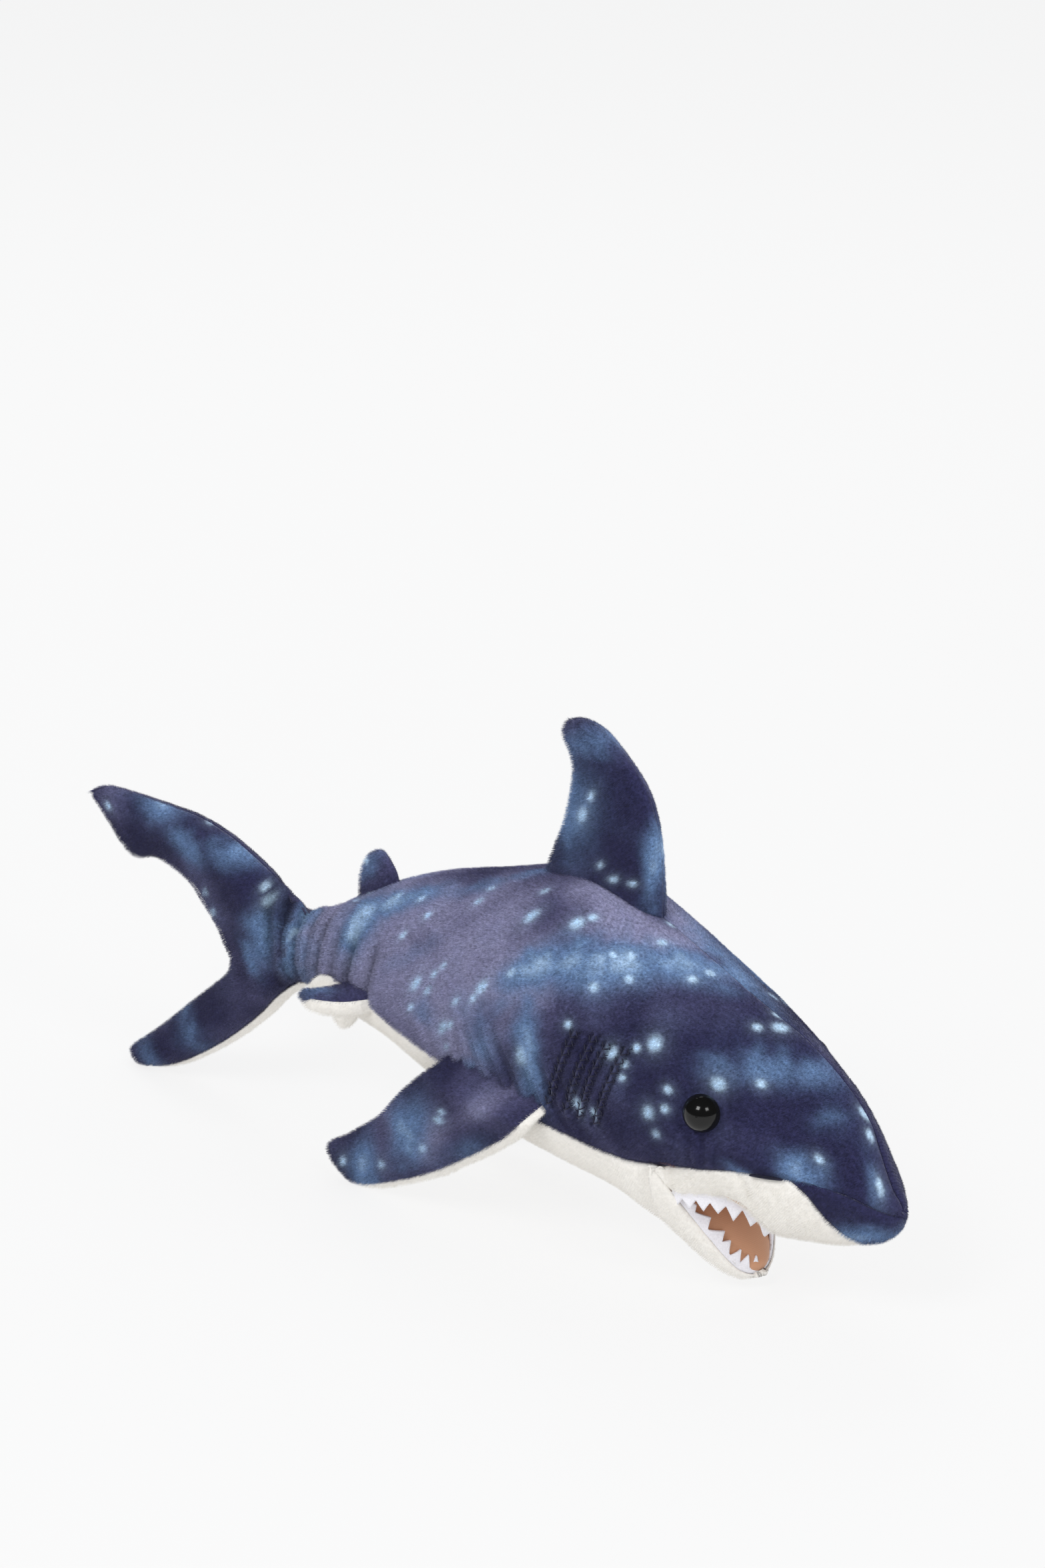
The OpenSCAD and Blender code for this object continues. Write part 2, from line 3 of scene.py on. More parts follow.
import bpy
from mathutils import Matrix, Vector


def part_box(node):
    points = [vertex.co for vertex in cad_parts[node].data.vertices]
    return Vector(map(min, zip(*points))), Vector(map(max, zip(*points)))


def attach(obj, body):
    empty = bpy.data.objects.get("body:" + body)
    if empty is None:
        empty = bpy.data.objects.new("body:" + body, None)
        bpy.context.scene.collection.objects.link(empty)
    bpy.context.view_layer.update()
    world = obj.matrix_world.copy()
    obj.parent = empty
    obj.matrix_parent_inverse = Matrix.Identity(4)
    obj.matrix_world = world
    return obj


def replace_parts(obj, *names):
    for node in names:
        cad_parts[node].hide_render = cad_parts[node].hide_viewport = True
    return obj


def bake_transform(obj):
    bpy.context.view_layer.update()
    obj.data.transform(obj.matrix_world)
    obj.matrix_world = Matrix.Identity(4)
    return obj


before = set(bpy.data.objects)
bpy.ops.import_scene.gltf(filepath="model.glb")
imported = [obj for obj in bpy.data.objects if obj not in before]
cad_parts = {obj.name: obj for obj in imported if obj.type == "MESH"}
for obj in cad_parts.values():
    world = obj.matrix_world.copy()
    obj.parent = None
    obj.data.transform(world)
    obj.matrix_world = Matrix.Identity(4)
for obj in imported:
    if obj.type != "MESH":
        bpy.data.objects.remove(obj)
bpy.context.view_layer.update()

import math

import bpy
import numpy as np
from mathutils import Vector, kdtree, noise

MM = 0.001
NOSE_X = 199.6
DORSAL_TOP = 199.9
# The shapes below are in millimetres from the shark's own middle; STAND moves them onto the frame.
STAND = np.array([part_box("snout_gusset")[1].x / MM - NOSE_X, 0.0,
                  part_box("dorsal_face_right")[1].z / MM - DORSAL_TOP])
SCENE = bpy.context.scene.collection
TAU = 2 * math.pi
SIDES = (("right", 1), ("left", -1))
# Thickness of the cloths, in millimetres
PLUSH, FIN_PLUSH, KNIT_CLOTH, FELT_CLOTH = 1.2, 1.0, 0.8, 1.0


# ---- Curves through tables: column 0 rises, column k is read at x ----
def curve(table, x, k=1):
    t = np.asarray(table, float)
    x = np.asarray(x, float)
    i = np.clip(np.searchsorted(t[:, 0], x, "right") - 1, 0, len(t) - 2)
    last = len(t) - 1

    def slope(j):
        a, b = np.maximum(j - 1, 0), np.minimum(j + 1, last)
        return (t[b, k] - t[a, k]) / (t[b, 0] - t[a, 0])

    w = t[i + 1, 0] - t[i, 0]
    s = np.clip((x - t[i, 0]) / w, 0, 1)
    s2, s3 = s * s, s * s * s
    return ((2 * s3 - 3 * s2 + 1) * t[i, k] + (s3 - 2 * s2 + s) * w * slope(i)
            + (3 * s2 - 2 * s3) * t[i + 1, k] + (s3 - s2) * w * slope(i + 1))
def path(table, t):
    """The place at t along a table of rows [t, coordinate, coordinate, ...]."""
    return np.stack([curve(table, t, k) for k in range(1, len(table[0]))], -1)
def smooth(s):
    s = np.clip(s, 0, 1)
    return s * s * (3 - 2 * s)


def mix(a, b, s):
    return a + (b - a) * s


def bump(x, centre, width):
    return np.exp(-((x - centre) / width) ** 2)


def unit(v):
    return v / np.linalg.norm(v, axis=-1, keepdims=True)


def value_noise(points, size, seed):
    """Smooth noise from -1 to 1 with features about size millimetres across."""
    shift = Vector((seed * 7.31, seed * 3.17, seed * 5.77))
    return np.array([noise.noise(Vector(p) / size + shift) for p in points])


# ---- Torso: x, top, bottom, half width, height of the widest place, boxiness below ----
TORSO = [[-125, 76, 68, 0.6, 72, 1], [-105, 84, 63, 5, 73, 1], [-92, 89, 60.5, 10, 74, 1],
         [-80, 92.5, 59, 14, 75, 1], [-66, 98, 57, 17, 77, 1], [-50, 107, 56, 21.5, 79, 1],
         [-30, 116.5, 53, 27.5, 81, 1], [-10, 124, 46.5, 33, 82, 1], [15, 131.5, 38, 37.5, 83, 1],
         [40, 138.5, 31, 41, 83, 0.95], [65, 141.5, 26, 41.5, 82, 0.95], [92, 131, 18.5, 40, 79, 1],
         [104, 125.5, 30.5, 39, 76, 0.85], [116, 120, 43, 37.5, 73, 0.75], [122, 117, 42.5, 36.5, 72, 0.75],
         [138, 109.5, 38.5, 33.5, 69, 0.75], [154, 102.5, 31.5, 28.6, 65, 0.8],
         [166, 95, 30, 23.8, 61, 0.85], [177, 86, 30.5, 18.6, 57.5, 0.9],
         [184, 77.5, 32.5, 14.8, 54.5, 0.95], [188.5, 69.5, 34, 12.8, 52.5, 1],
         [192, 61.5, 35.5, 10.5, 50.5, 1], [195, 55.5, 38, 8, 48.5, 1], [197.6, 52.5, 41, 5, 47.2, 1],
         [199.2, 49.5, 44, 2, 46.7, 1]]
# Bottom of the throat skin, which runs on over the lower jaw
THROAT = [row[:2] + [low] + row[3:] for row, low in
          zip(TORSO, [68, 63, 60.5, 59, 57, 56, 53, 46.5, 38, 33, 28.8, 22.5, 15.5, 10, 8] + [8] * 10)]
# The torso without the mouth, for the cloth of the lip
LIP_BODY = [list(row) for row in TORSO]
RIDGE = [[-125, 1], [0, 1.1], [60, 1.15], [95, 1.25], [128, 1.4], [148, 2.1], [166, 2.9], [185, 2.6],
         [199.6, 1.6]]
SEAM = [[-92, 57], [-80, 60], [-70, 69], [-61, 75], [-50, 75], [-30, 73], [-9, 68], [13, 63], [40, 58],
        [68, 55], [90, 52], [113, 52.5], [132, 56], [144, 58.5], [155, 59], [168, 58.5], [180, 56.5],
        [190, 52.5], [199.6, 46.8]]
LIP_EDGE = [[166, 58.5], [171, 54], [175, 48], [179, 41.5], [184, 33.5]]
TAIL_JOIN = -74
JAW_X = 116
LIP_FRONT = 154
LIP_CORNER_Y = 32
GUSSET_REAR = 166
GUSSET_FRONT = 184
PALATE_RISE = 7
# Thickness of the CAD's cloth over the tail's stuffing
CLOTH = 2.0
# The sections never get thinner than this at the ends of the body
THINNEST = 0.4


def angle_at(x, z, table=TORSO):
    """Angle from the ridge at station x and height z, below the widest line."""
    wide = curve(table, x, 4)
    down = np.clip((wide - z) / (wide - curve(table, x, 2)), 0, 1)
    return 90 + np.degrees(np.arcsin(down ** (1 / curve(table, x, 5))))


def side_angle(x, z):
    """Angle from the ridge at station x and height z."""
    wide, top = curve(TORSO, x, 4), curve(TORSO, x, 1)
    up = np.clip((z - wide) / (top - wide), 0, 1)
    return np.where(z > wide, np.degrees(np.arccos(up ** (1 / curve(RIDGE, x)))), angle_at(x, z))


def seam_angle(x):
    return side_angle(x, curve(SEAM, x))


def keel_angle(x, y):
    """Angle from the ridge at station x, on the underside and y from the middle plane."""
    share = np.clip(np.abs(y) / curve(TORSO, x, 3), 0, 1) ** (1 / curve(TORSO, x, 5))
    return 180 - np.degrees(np.arcsin(share))


def lip_half_width(x):
    round_part = LIP_CORNER_Y * np.sqrt(np.clip(1 - ((x - JAW_X) / (LIP_FRONT - JAW_X)) ** 2, 0, None))
    return np.where(x < JAW_X, LIP_CORNER_Y, round_part)


def lip_angle(x):
    return np.where(x >= LIP_FRONT, 180, keel_angle(x, lip_half_width(x)))


def cream_front_angle(x):
    return np.where(x >= GUSSET_FRONT, 180, np.maximum(seam_angle(x), angle_at(x, curve(LIP_EDGE, x))))


def torso_at(x, a, table=TORSO):
    """A place on the right side: station x, angle from the ridge (0) to the keel (180)."""
    x, a = np.broadcast_arrays(np.asarray(x, float), np.asarray(a, float))
    top, bottom, half, wide, box = (curve(table, x, k) for k in range(1, 6))
    turn = np.radians(np.clip(a, 0, 180))
    power = np.where(a > 90, box, 1.0)
    mouth = (x > JAW_X) & (x < LIP_FRONT) & (table is TORSO)
    inside = np.where(mouth, np.clip((a - lip_angle(x)) / (180.01 - lip_angle(x)), 0, 1), 0)
    rise = PALATE_RISE * np.sin(inside * np.pi / 2) * smooth((LIP_FRONT - x) / 12)
    up = wide + (top - wide) * np.clip(np.cos(turn), 0, 1) ** curve(RIDGE, x)
    low = wide - np.maximum(THINNEST, wide - bottom) * np.clip(-np.cos(turn), 0, 1) ** power
    y = -np.maximum(THINNEST, half) * np.clip(np.sin(turn), 0, 1) ** power
    return np.stack([x, y, np.where(a <= 90, up, low + rise)], -1)


def arc(x, start, stop, n=60, table=TORSO):
    """A row of n places at station x, from one angle to another."""
    return torso_at(x, np.linspace(float(start), float(stop), n), table)


# ---- Grids and meshes ----
def even(rows, m):
    """Each row of points spaced again at m equal lengths; also the length of each row."""
    out = np.empty((len(rows), m, 3))
    lengths = np.empty(len(rows))
    for i, row in enumerate(rows):
        run = np.concatenate([[0], np.cumsum(np.linalg.norm(np.diff(row, axis=0), axis=1))])
        lengths[i] = run[-1]
        at = np.linspace(0, run[-1], m)
        out[i] = np.stack([np.interp(at, run, row[:, k]) for k in range(3)], -1)
    return out, lengths


def grid_faces(n, m, flip=False):
    i, j = np.meshgrid(np.arange(n - 1), np.arange(m - 1), indexing="ij")
    a = (i * m + j).ravel()
    quads = np.stack([a, a + 1, a + m + 1, a + m], -1)
    return quads[:, ::-1] if flip else quads


def weld(parts, fine=0.01):
    """Joins (points, faces, cloth coordinates) parts where their points coincide."""
    points = np.concatenate([p for p, _, _ in parts])
    coords = np.concatenate([c for _, _, c in parts])
    starts = np.cumsum([0] + [len(p) for p, _, _ in parts[:-1]])
    faces = np.concatenate([f + s for (_, f, _), s in zip(parts, starts)])
    cells = np.round(points / fine).astype(int)
    _, first, back = np.unique(cells, axis=0, return_index=True, return_inverse=True)
    faces = back.ravel()[faces]
    sides = np.stack([faces[:, k] != faces[:, (k + 1) % 4] for k in range(4)], -1)
    good = (sides.sum(1) == 4) & (faces[:, 0] != faces[:, 2]) & (faces[:, 1] != faces[:, 3])
    thin = (sides.sum(1) == 3)
    triangles = [tuple(dict.fromkeys(f)) for f in faces[thin].tolist()]
    quads = [tuple(f) for f in faces[good].tolist()]
    return points[first], quads + [t for t in triangles if len(t) == 3], coords[first]


def corner_arrays(faces):
    """Four corners for each face; a triangle repeats its first one."""
    return np.array([f if len(f) == 4 else f + (f[0],) for f in faces])


def normals_of(points, faces):
    f = corner_arrays(faces)
    n = np.cross(points[f[:, 2]] - points[f[:, 0]], points[f[:, 3]] - points[f[:, 1]])
    tri = f[:, 3] == f[:, 0]
    n[tri] = np.cross(points[f[tri, 1]] - points[f[tri, 0]], points[f[tri, 2]] - points[f[tri, 0]])
    out = np.zeros_like(points)
    for k in range(4):
        np.add.at(out, f[:, k], n)
    return out / np.maximum(np.linalg.norm(out, axis=1), 1e-9)[:, None]


def border_edges(faces):
    count = {}
    for f in faces:
        for a, b in zip(f, f[1:] + f[:1]):
            key = (min(a, b), max(a, b))
            count[key] = None if key in count else (a, b)
    return [e for e in count.values() if e is not None]


def relax(points, faces, weight, rounds):
    """Pulls each point towards its neighbours' middle, by weight; border points stay."""
    f = corner_arrays(faces)
    a = np.concatenate([f[:, k] for k in range(4)] + [f[:, (k + 1) % 4] for k in range(4)])
    b = np.concatenate([f[:, (k + 1) % 4] for k in range(4)] + [f[:, k] for k in range(4)])
    weight = weight.copy()
    weight[list({v for e in border_edges(faces) for v in e})] = 0
    for _ in range(rounds):
        total = np.zeros_like(points)
        number = np.zeros(len(points))
        np.add.at(total, a, points[b])
        np.add.at(number, a, 1)
        points = mix(points, total / np.maximum(number, 1)[:, None], weight[:, None] * 0.5)
    return points


def border_distance(points, faces):
    edges = border_edges(faces)
    rim = sorted({v for e in edges for v in e})
    tree = kdtree.KDTree(len(rim))
    for v in rim:
        tree.insert(points[v], v)
    tree.balance()
    return np.array([tree.find(p)[2] for p in points])


def add_mesh(name, points, faces):
    """An object from points that are in millimetres from the shark's own middle."""
    mesh = bpy.data.meshes.new(name)
    mesh.from_pydata(((points + STAND) * MM).tolist(), [], faces)
    mesh.validate()
    mesh.update()
    mesh.polygons.foreach_set("use_smooth", np.ones(len(mesh.polygons), bool))
    piece = bpy.data.objects.new(name, mesh)
    SCENE.objects.link(piece)
    return piece


def make_piece(name, points, faces, thick, colours=None):
    """A cloth skin: the outer points, an inner copy thick millimetres behind them, and the rim between."""
    n = len(points)
    inner = points - normals_of(points, faces) * thick
    rim = [(b, a, a + n, b + n) for a, b in border_edges(faces)]
    lining = [tuple(v + n for v in reversed(f)) for f in faces]
    piece = add_mesh(name, np.concatenate([points, inner]), list(faces) + lining + rim)
    if colours is not None:
        corner = np.empty(len(piece.data.loops), np.int32)
        piece.data.loops.foreach_get("vertex_index", corner)
        rgba = np.ones((2 * n, 4), np.float32)
        rgba[:, :3] = np.concatenate([colours, colours])
        layer = piece.data.color_attributes.new(name="print", type="BYTE_COLOR", domain="CORNER")
        layer.data.foreach_set("color", rgba[corner].ravel())
    piece.vertex_groups.new(name="outer").add(list(range(n)), 1.0, "REPLACE")
    return piece


# ---- Materials ----
def set_inputs(node, inputs):
    for socket, value in inputs.items():
        node.inputs[socket.replace("_", " ")].default_value = value


def add_node(tree, kind, **inputs):
    node = tree.nodes.new(kind)
    set_inputs(node, inputs)
    return node


def new_material(name, colour, roughness, **sockets):
    material = bpy.data.materials.new(name)
    material.use_nodes = True
    shader = material.node_tree.nodes["Principled BSDF"]
    shader.inputs["Base Color"].default_value = (*colour, 1)
    shader.inputs["Roughness"].default_value = roughness
    set_inputs(shader, sockets)
    return material, material.node_tree, shader


def add_noise(tree, scale, detail):
    where = tree.nodes.new("ShaderNodeTexCoord")
    grain = add_node(tree, "ShaderNodeTexNoise", Scale=scale, Detail=detail)
    tree.links.new(where.outputs["Object"], grain.inputs["Vector"])
    return grain.outputs["Fac"]


def add_bump(tree, shader, height, strength, distance):
    node = add_node(tree, "ShaderNodeBump", Strength=strength, Distance=distance)
    tree.links.new(height, node.inputs["Height"])
    tree.links.new(node.outputs["Normal"], shader.inputs["Normal"])


def add_tint(tree, shader, factor, source, low, high, factor_max=0.7):
    """Base colour = source (a colour or a socket) times a factor that runs from low to high."""
    spread = add_node(tree, "ShaderNodeMapRange", From_Min=0.3, From_Max=factor_max, To_Min=low, To_Max=high)
    tree.links.new(factor, spread.inputs["Value"])
    scale = tree.nodes.new("ShaderNodeVectorMath")
    scale.operation = "SCALE"
    if isinstance(source, tuple):
        scale.inputs[0].default_value = source
    else:
        tree.links.new(source, scale.inputs[0])
    tree.links.new(spread.outputs["Result"], scale.inputs["Scale"])
    tree.links.new(scale.outputs["Vector"], shader.inputs["Base Color"])


def printed_colour(tree):
    layer = tree.nodes.new("ShaderNodeAttribute")
    layer.attribute_name = "print"
    return layer.outputs["Color"]


def grained(name, colour, roughness, grain, tint, relief=None, **sockets):
    """Noise (scale, detail) tints the colour by a factor from low to high; relief is (strength, metres)."""
    material, tree, shader = new_material(name, colour, roughness, **sockets)
    factor = add_noise(tree, *grain)
    add_tint(tree, shader, factor, colour, *tint)
    if relief:
        add_bump(tree, shader, factor, *relief)
    return material


def printed_plush():
    material, tree, shader = new_material("printed_plush", (0.05, 0.05, 0.14), 0.85, Sheen_Weight=0.35,
                                          Sheen_Roughness=0.45, Sheen_Tint=(0.75, 0.78, 1.0, 1),
                                          Specular_IOR_Level=0.25)
    grain = add_noise(tree, 900, 3)
    add_tint(tree, shader, grain, printed_colour(tree), 0.7, 1.3)
    add_bump(tree, shader, grain, 0.5, 0.0008)
    return material


def printed_pile():
    """Strands in the print's colours, darker and lighter in clumps, with a few bright ones that are painted
    glints.
    """
    material, tree, shader = new_material("printed_pile", (0.05, 0.05, 0.14), 0.55, Specular_IOR_Level=0.35)
    strand = tree.nodes.new("ShaderNodeHairInfo")
    # Painted glints: strands with a high random value come out much brighter
    bright = tree.nodes.new("ShaderNodeMath")
    bright.operation = "POWER"
    bright.inputs[1].default_value = 6
    tree.links.new(strand.outputs["Random"], bright.inputs[0])
    both = tree.nodes.new("ShaderNodeMath")
    both.operation = "MULTIPLY_ADD"
    both.inputs[1].default_value = 0.55
    tree.links.new(bright.outputs["Value"], both.inputs[0])
    tree.links.new(add_noise(tree, 1100, 2), both.inputs[2])
    add_tint(tree, shader, both.outputs["Value"], printed_colour(tree), 0.4, 1.9, 1.0)
    return material


def cream_pile():
    material, tree, shader = new_material("cream_pile", (0.9, 0.875, 0.83), 0.7, Specular_IOR_Level=0.2)
    strand = tree.nodes.new("ShaderNodeHairInfo")
    add_tint(tree, shader, strand.outputs["Random"], (0.865, 0.842, 0.80), 0.92, 1.04)
    return material


def mouth_knit():
    material, tree, shader = new_material("mouth_knit", (0.42, 0.23, 0.14), 0.75, Sheen_Weight=0.2,
                                          Specular_IOR_Level=0.3)
    where = tree.nodes.new("ShaderNodeTexCoord")
    ribs = add_node(tree, "ShaderNodeTexWave", Scale=520, Distortion=1.5, Detail=2)
    ribs.bands_direction = "Z"
    tree.links.new(where.outputs["Object"], ribs.inputs["Vector"])
    add_tint(tree, shader, ribs.outputs["Fac"], (0.585, 0.305, 0.18), 0.98, 1.015)
    add_bump(tree, shader, ribs.outputs["Fac"], 0.12, 0.0002)
    return material


PRINTED, PRINTED_PILE = printed_plush(), printed_pile()
CREAM = grained("cream_plush", (0.86, 0.835, 0.79), 0.9, (700, 4), (0.93, 1.05), (0.4, 0.0006),
                Sheen_Weight=0.25, Specular_IOR_Level=0.2)
CREAM_PILE, KNIT = cream_pile(), mouth_knit()
FELT = grained("tooth_felt", (0.86, 0.85, 0.9), 0.95, (1400, 6), (0.94, 1.06), (0.6, 0.0005),
               Sheen_Weight=0.3, Specular_IOR_Level=0.2)
FIBRE = grained("fibre_fill", (0.85, 0.85, 0.82), 0.95, (500, 6), (0.9, 1.05), (0.8, 0.001))
EYE = grained("eye_plastic", (0.006, 0.006, 0.006), 0.13, (60, 2), (0.8, 1.2), Specular_IOR_Level=0.32)
WASHER = grained("washer_plastic", (0.8, 0.8, 0.8), 0.4, (200, 2), (0.95, 1.02))
THREAD = grained("dark_thread", (0.014, 0.014, 0.035), 0.5, (2500, 2), (0.6, 1.6), (0.5, 0.0002),
                 Specular_IOR_Level=0.4)


# ---- The print: a purple navy ground, cloudy blue bands and pale spots, and a painted lilac sheen ----
NAVY = np.array([0.024, 0.024, 0.080])
PURPLE = np.array([0.085, 0.083, 0.180])
# Painted sheen: a lilac for the light off the pile, mixed in where the ground's tone runs high
SHEEN_LILAC = np.array([0.265, 0.265, 0.415])
BLUE = np.array([0.140, 0.240, 0.430])
PALE = np.array([0.520, 0.700, 0.880])
# Clouds on the flank: x, distance down from the ridge, half length, half height, turn in degrees, strength
FLANK_CLOUDS = [
    (60, 45, 19, 8, -28, 0.85), (76, 36, 19, 9, -32, 1.1), (92, 24, 18, 8, -40, 0.95),
    (109, 10, 18, 7, -45, 0.95), (-42, 20, 12, 12, -5, 1.25), (-20, 15, 20, 6, -5, 1.0),
    (14, 12, 14, 5, -15, 0.6), (32, 6, 12, 4, -20, 0.6), (38, 74, 16, 9, 70, 0.55),
    (-4, 40, 14, 5, -20, 0.4), (61, 77, 21, 6, 82, 1.0), (30, 88, 12, 6, -10, 0.5),
    (45, 62, 12, 5, -30, 0.45), (137, 30, 15, 5, -35, 0.5), (150, 18, 15, 6, -42, 0.75),
    (163, 7, 14, 6, -45, 0.6), (172, 14, 12, 4, -55, 0.5), (122, 7, 9, 4, -45, 0.5),
    (8, 62, 9, 5, 60, 0.35), (152, 58, 9, 3, -10, 0.6), (170, 38, 11, 6, -50, 0.75),
    (190, 10, 5, 6, 0, 0.5), (-83, 22, 5, 12, 0, 0.8), (-57, 10, 8, 12, 0, 0.35), (-75, 30, 9, 20, 0, 0.45),
    (-163, -24, 15, 6, 8, 0.85), (-143, -13, 13, 6, 20, 0.8), (-121, -14, 14, 6, -5, 0.8),
    (-100, 14, 9, 13, 20, 0.75), (-83, 6, 7, 9, 0, 1.2), (-107, 24, 9, 6, 40, 0.8),
    (-146, 67, 20, 7, 40, 0.55), (-170, 85, 12, 6, 30, 0.6)]
# Spots on the flank: x, distance down from the ridge, half length, turn in degrees
FLANK_SPOTS = [
    (48, 27, 3.2, -45), (47, 16, 1.7, -40), (68, 25, 3.2, -50), (72, 20, 2.1, -45), (18, 20, 1.8, -40),
    (20, 14, 1.6, -40), (-4, 25, 1.8, -45), (-13, 32, 1.8, -45), (-12, 17, 1.7, -40), (-26, 13, 1.7, -40),
    (-48, 3, 1.9, -40), (-53, 6, 1.7, -40), (-44, 35, 1.8, -50), (1, 52, 3.0, -50), (8, 55, 1.9, -50),
    (10, 49, 1.8, -50), (14, 46, 1.6, -45), (36, 55, 3.0, -55), (33, 59, 2.0, -55), (24, 60, 1.8, -50),
    (48, 49, 1.8, -45), (-1, 61, 1.8, -50), (17, 70, 3.0, -55), (21, 69, 1.9, -50), (18, 78, 1.8, -50),
    (58, 79, 3.6, 85), (77, 58, 1.9, -50), (83, 40, 2.2, -50), (94, 29, 2.0, -45), (91, 22, 1.9, -45),
    (85, 26, 1.6, -40), (113, 13, 2.0, -45), (116, 6, 1.8, -45), (97, 10, 1.8, -45), (94, 0, 2.0, -30),
    (142, 0, 1.9, -30), (140, 10, 1.9, -45), (146, 4, 2.8, -45), (111, 41, 3.4, -60), (105, 47, 1.9, -55),
    (96, 55, 2.8, -60), (102, 55, 1.8, -55), (102, 60, 1.7, -55), (120, 51, 1.9, -50), (136, 36, 3.0, -50),
    (149, 25, 2.0, -45), (114, 64, 2.8, -60), (120, 58, 1.9, -55), (117, 70, 1.8, -60), (83, 85, 2.6, 80),
    (90, 83, 1.8, 80), (181, 1, 1.8, -30), (173, 29, 1.9, -45), (192, 7, 1.9, 90), (185, 3, 1.6, -60),
    (-100, -1, 2.8, -50), (-103, -5, 1.8, -50), (-131, 13, 2.0, -60), (-134, 5, 1.8, -60),
    (-188, -18, 2.0, 30), (-136, -23, 1.7, 0), (-82, 12, 2.2, 85)]
# Broad places where the ground's tone is lowered or raised: lower is darker navy print, higher is purple
# print and, higher still, lilac painted sheen: x, distance down, half length, half height, turn in degrees,
# strength
FLANK_GROUND_AND_SHEEN = [
    (-25, 40, 45, 26, 10, 1.5), (25, 58, 42, 30, 0, 1.5), (5, 86, 36, 14, 0, 1.3),
    (66, 14, 30, 10, -20, 0.7), (-112, 0, 13, 14, 30, -1.0), (-94, 34, 9, 9, 0, -0.9),
    (105, 60, 34, 22, -20, -0.9), (140, 12, 30, 20, -40, -0.6), (165, 45, 30, 16, -45, -0.9),
    (188, 10, 16, 16, 0, -0.7), (-165, -8, 16, 8, 10, -0.5), (-150, 60, 30, 20, 40, -0.5),
    (-68, 15, 16, 28, 0, 1.9), (-30, 8, 50, 16, 10, 1.1), (60, 8, 44, 14, 0, 0.9), (30, 40, 50, 30, 0, 0.4),
    (92, 10, 22, 8, -30, 1.2), (-190, -20, 12, 10, 0, 0.5), (-95, 8, 10, 20, 0, -0.5)]


def patch(p, q, x, y, long, short, turn):
    """Squared distance from a patch's middle, 1 on its edge."""
    c, s = math.cos(math.radians(turn)), math.sin(math.radians(turn))
    dx, dy = p - x, q - y
    return ((dx * c + dy * s) / long) ** 2 + ((dy * c - dx * s) / short) ** 2


def print_colours(p, q, solid, seed, clouds, spots, ground=()):
    """Colours from cloth coordinates p (along) and q (across), both in millimetres."""
    broad = value_noise(solid, 30, seed)
    middle = value_noise(solid, 13, seed + 1)
    fine = value_noise(solid, 5, seed + 2)
    tone_and_sheen = 0.42 + 0.45 * broad + 0.45 * middle
    for x, y, long, short, turn, strength in ground:
        tone_and_sheen = tone_and_sheen + strength * 0.6 * np.exp(-patch(p, q, x, y, long, short, turn))
    p2, q2 = p + 2.5 * middle, q + 2.5 * fine
    cloud = np.zeros(len(p))
    for x, y, long, short, turn, strength in clouds:
        cloud = np.maximum(cloud, strength * np.exp(-patch(p2, q2, x, y, long, short, turn)))
    cloud = cloud * (1 + 0.25 * fine + 0.25 * middle)
    cloud = cloud + 0.22 * np.clip(middle, 0, 1) + 0.1 * np.clip(broad, 0, 1)
    colour = mix(NAVY, PURPLE, smooth(tone_and_sheen)[:, None])
    # Painted sheen: where the tone runs high the ground turns lilac, standing in for light off the pile
    colour = mix(colour, SHEEN_LILAC, smooth((tone_and_sheen - 0.75) / 0.9)[:, None])
    colour = mix(colour, BLUE, smooth(cloud)[:, None])
    colour = mix(colour, PALE, 0.75 * smooth((cloud - 0.75) / 0.7)[:, None])
    glow = np.zeros(len(p))
    for x, y, size, turn in spots:
        reach = patch(p, q, x, y, size, size * 0.62, turn)
        glow = np.maximum(glow, 0.95 * np.exp(-reach ** 1.6) + 0.12 * np.exp(-reach / 5))
    return mix(colour, PALE, np.clip(glow, 0, 1)[:, None])


def scattered(number, ranges, seed):
    """Patches whose values are drawn at random, each from its own range."""
    rng = np.random.default_rng(seed)
    return [tuple(rng.uniform(*limits) for limits in ranges) for _ in range(number)]


# ---- Pile: strands that lean back along the cloth ----
# Strands grow for 4 seconds, so their speed is a quarter of their length.
GROWTH = 4
PILE_RISE, PILE_LEAN, PILE_ROUGH = 0.75, (-0.6, 0.0, -0.35), 0.25
PILE_RADIUS = 0.085


def add_pile(piece, material, per_mm2, length, seed):
    """Strands of about length millimetres on the outer face of a skin."""
    piece.data.materials.append(material)
    area = sum(f.area for f in piece.data.polygons) / 2 / MM ** 2
    system = piece.modifiers.new("pile", "PARTICLE_SYSTEM").particle_system
    system.seed = seed
    s = system.settings
    s.type = "HAIR"
    s.use_advanced_hair = True
    s.count = int(area * per_mm2)
    s.hair_step = 2
    s.render_step = 2
    s.display_step = 1
    s.display_percentage = 1
    s.material = len(piece.data.materials)
    speed = length * MM / GROWTH
    s.normal_factor = PILE_RISE * speed
    s.object_align_factor = tuple(speed * v for v in PILE_LEAN)
    s.factor_random = speed * PILE_ROUGH
    s.effector_weights.gravity = 0
    s.root_radius = 1.0
    s.tip_radius = 0.35
    s.radius_scale = PILE_RADIUS * MM
    s.use_modifier_stack = False
    system.vertex_group_density = "outer"


def dress(piece, material):
    piece.data.materials.append(material)
    return piece


# ---- Relief of the stuffed body ----
EYE_X, EYE_Z = 133.5, 78.7
# Gill rows, each [x at its top, height of its top], GILL_STITCHES stitches long and leaning back downwards
GILL_TOPS = [[101.2, 95], [93.8, 95.5], [88.2, 97], [80.2, 97]]
GILL_STITCHES, GILL_STEP, GILL_SLANT = 9, 3.5, -11


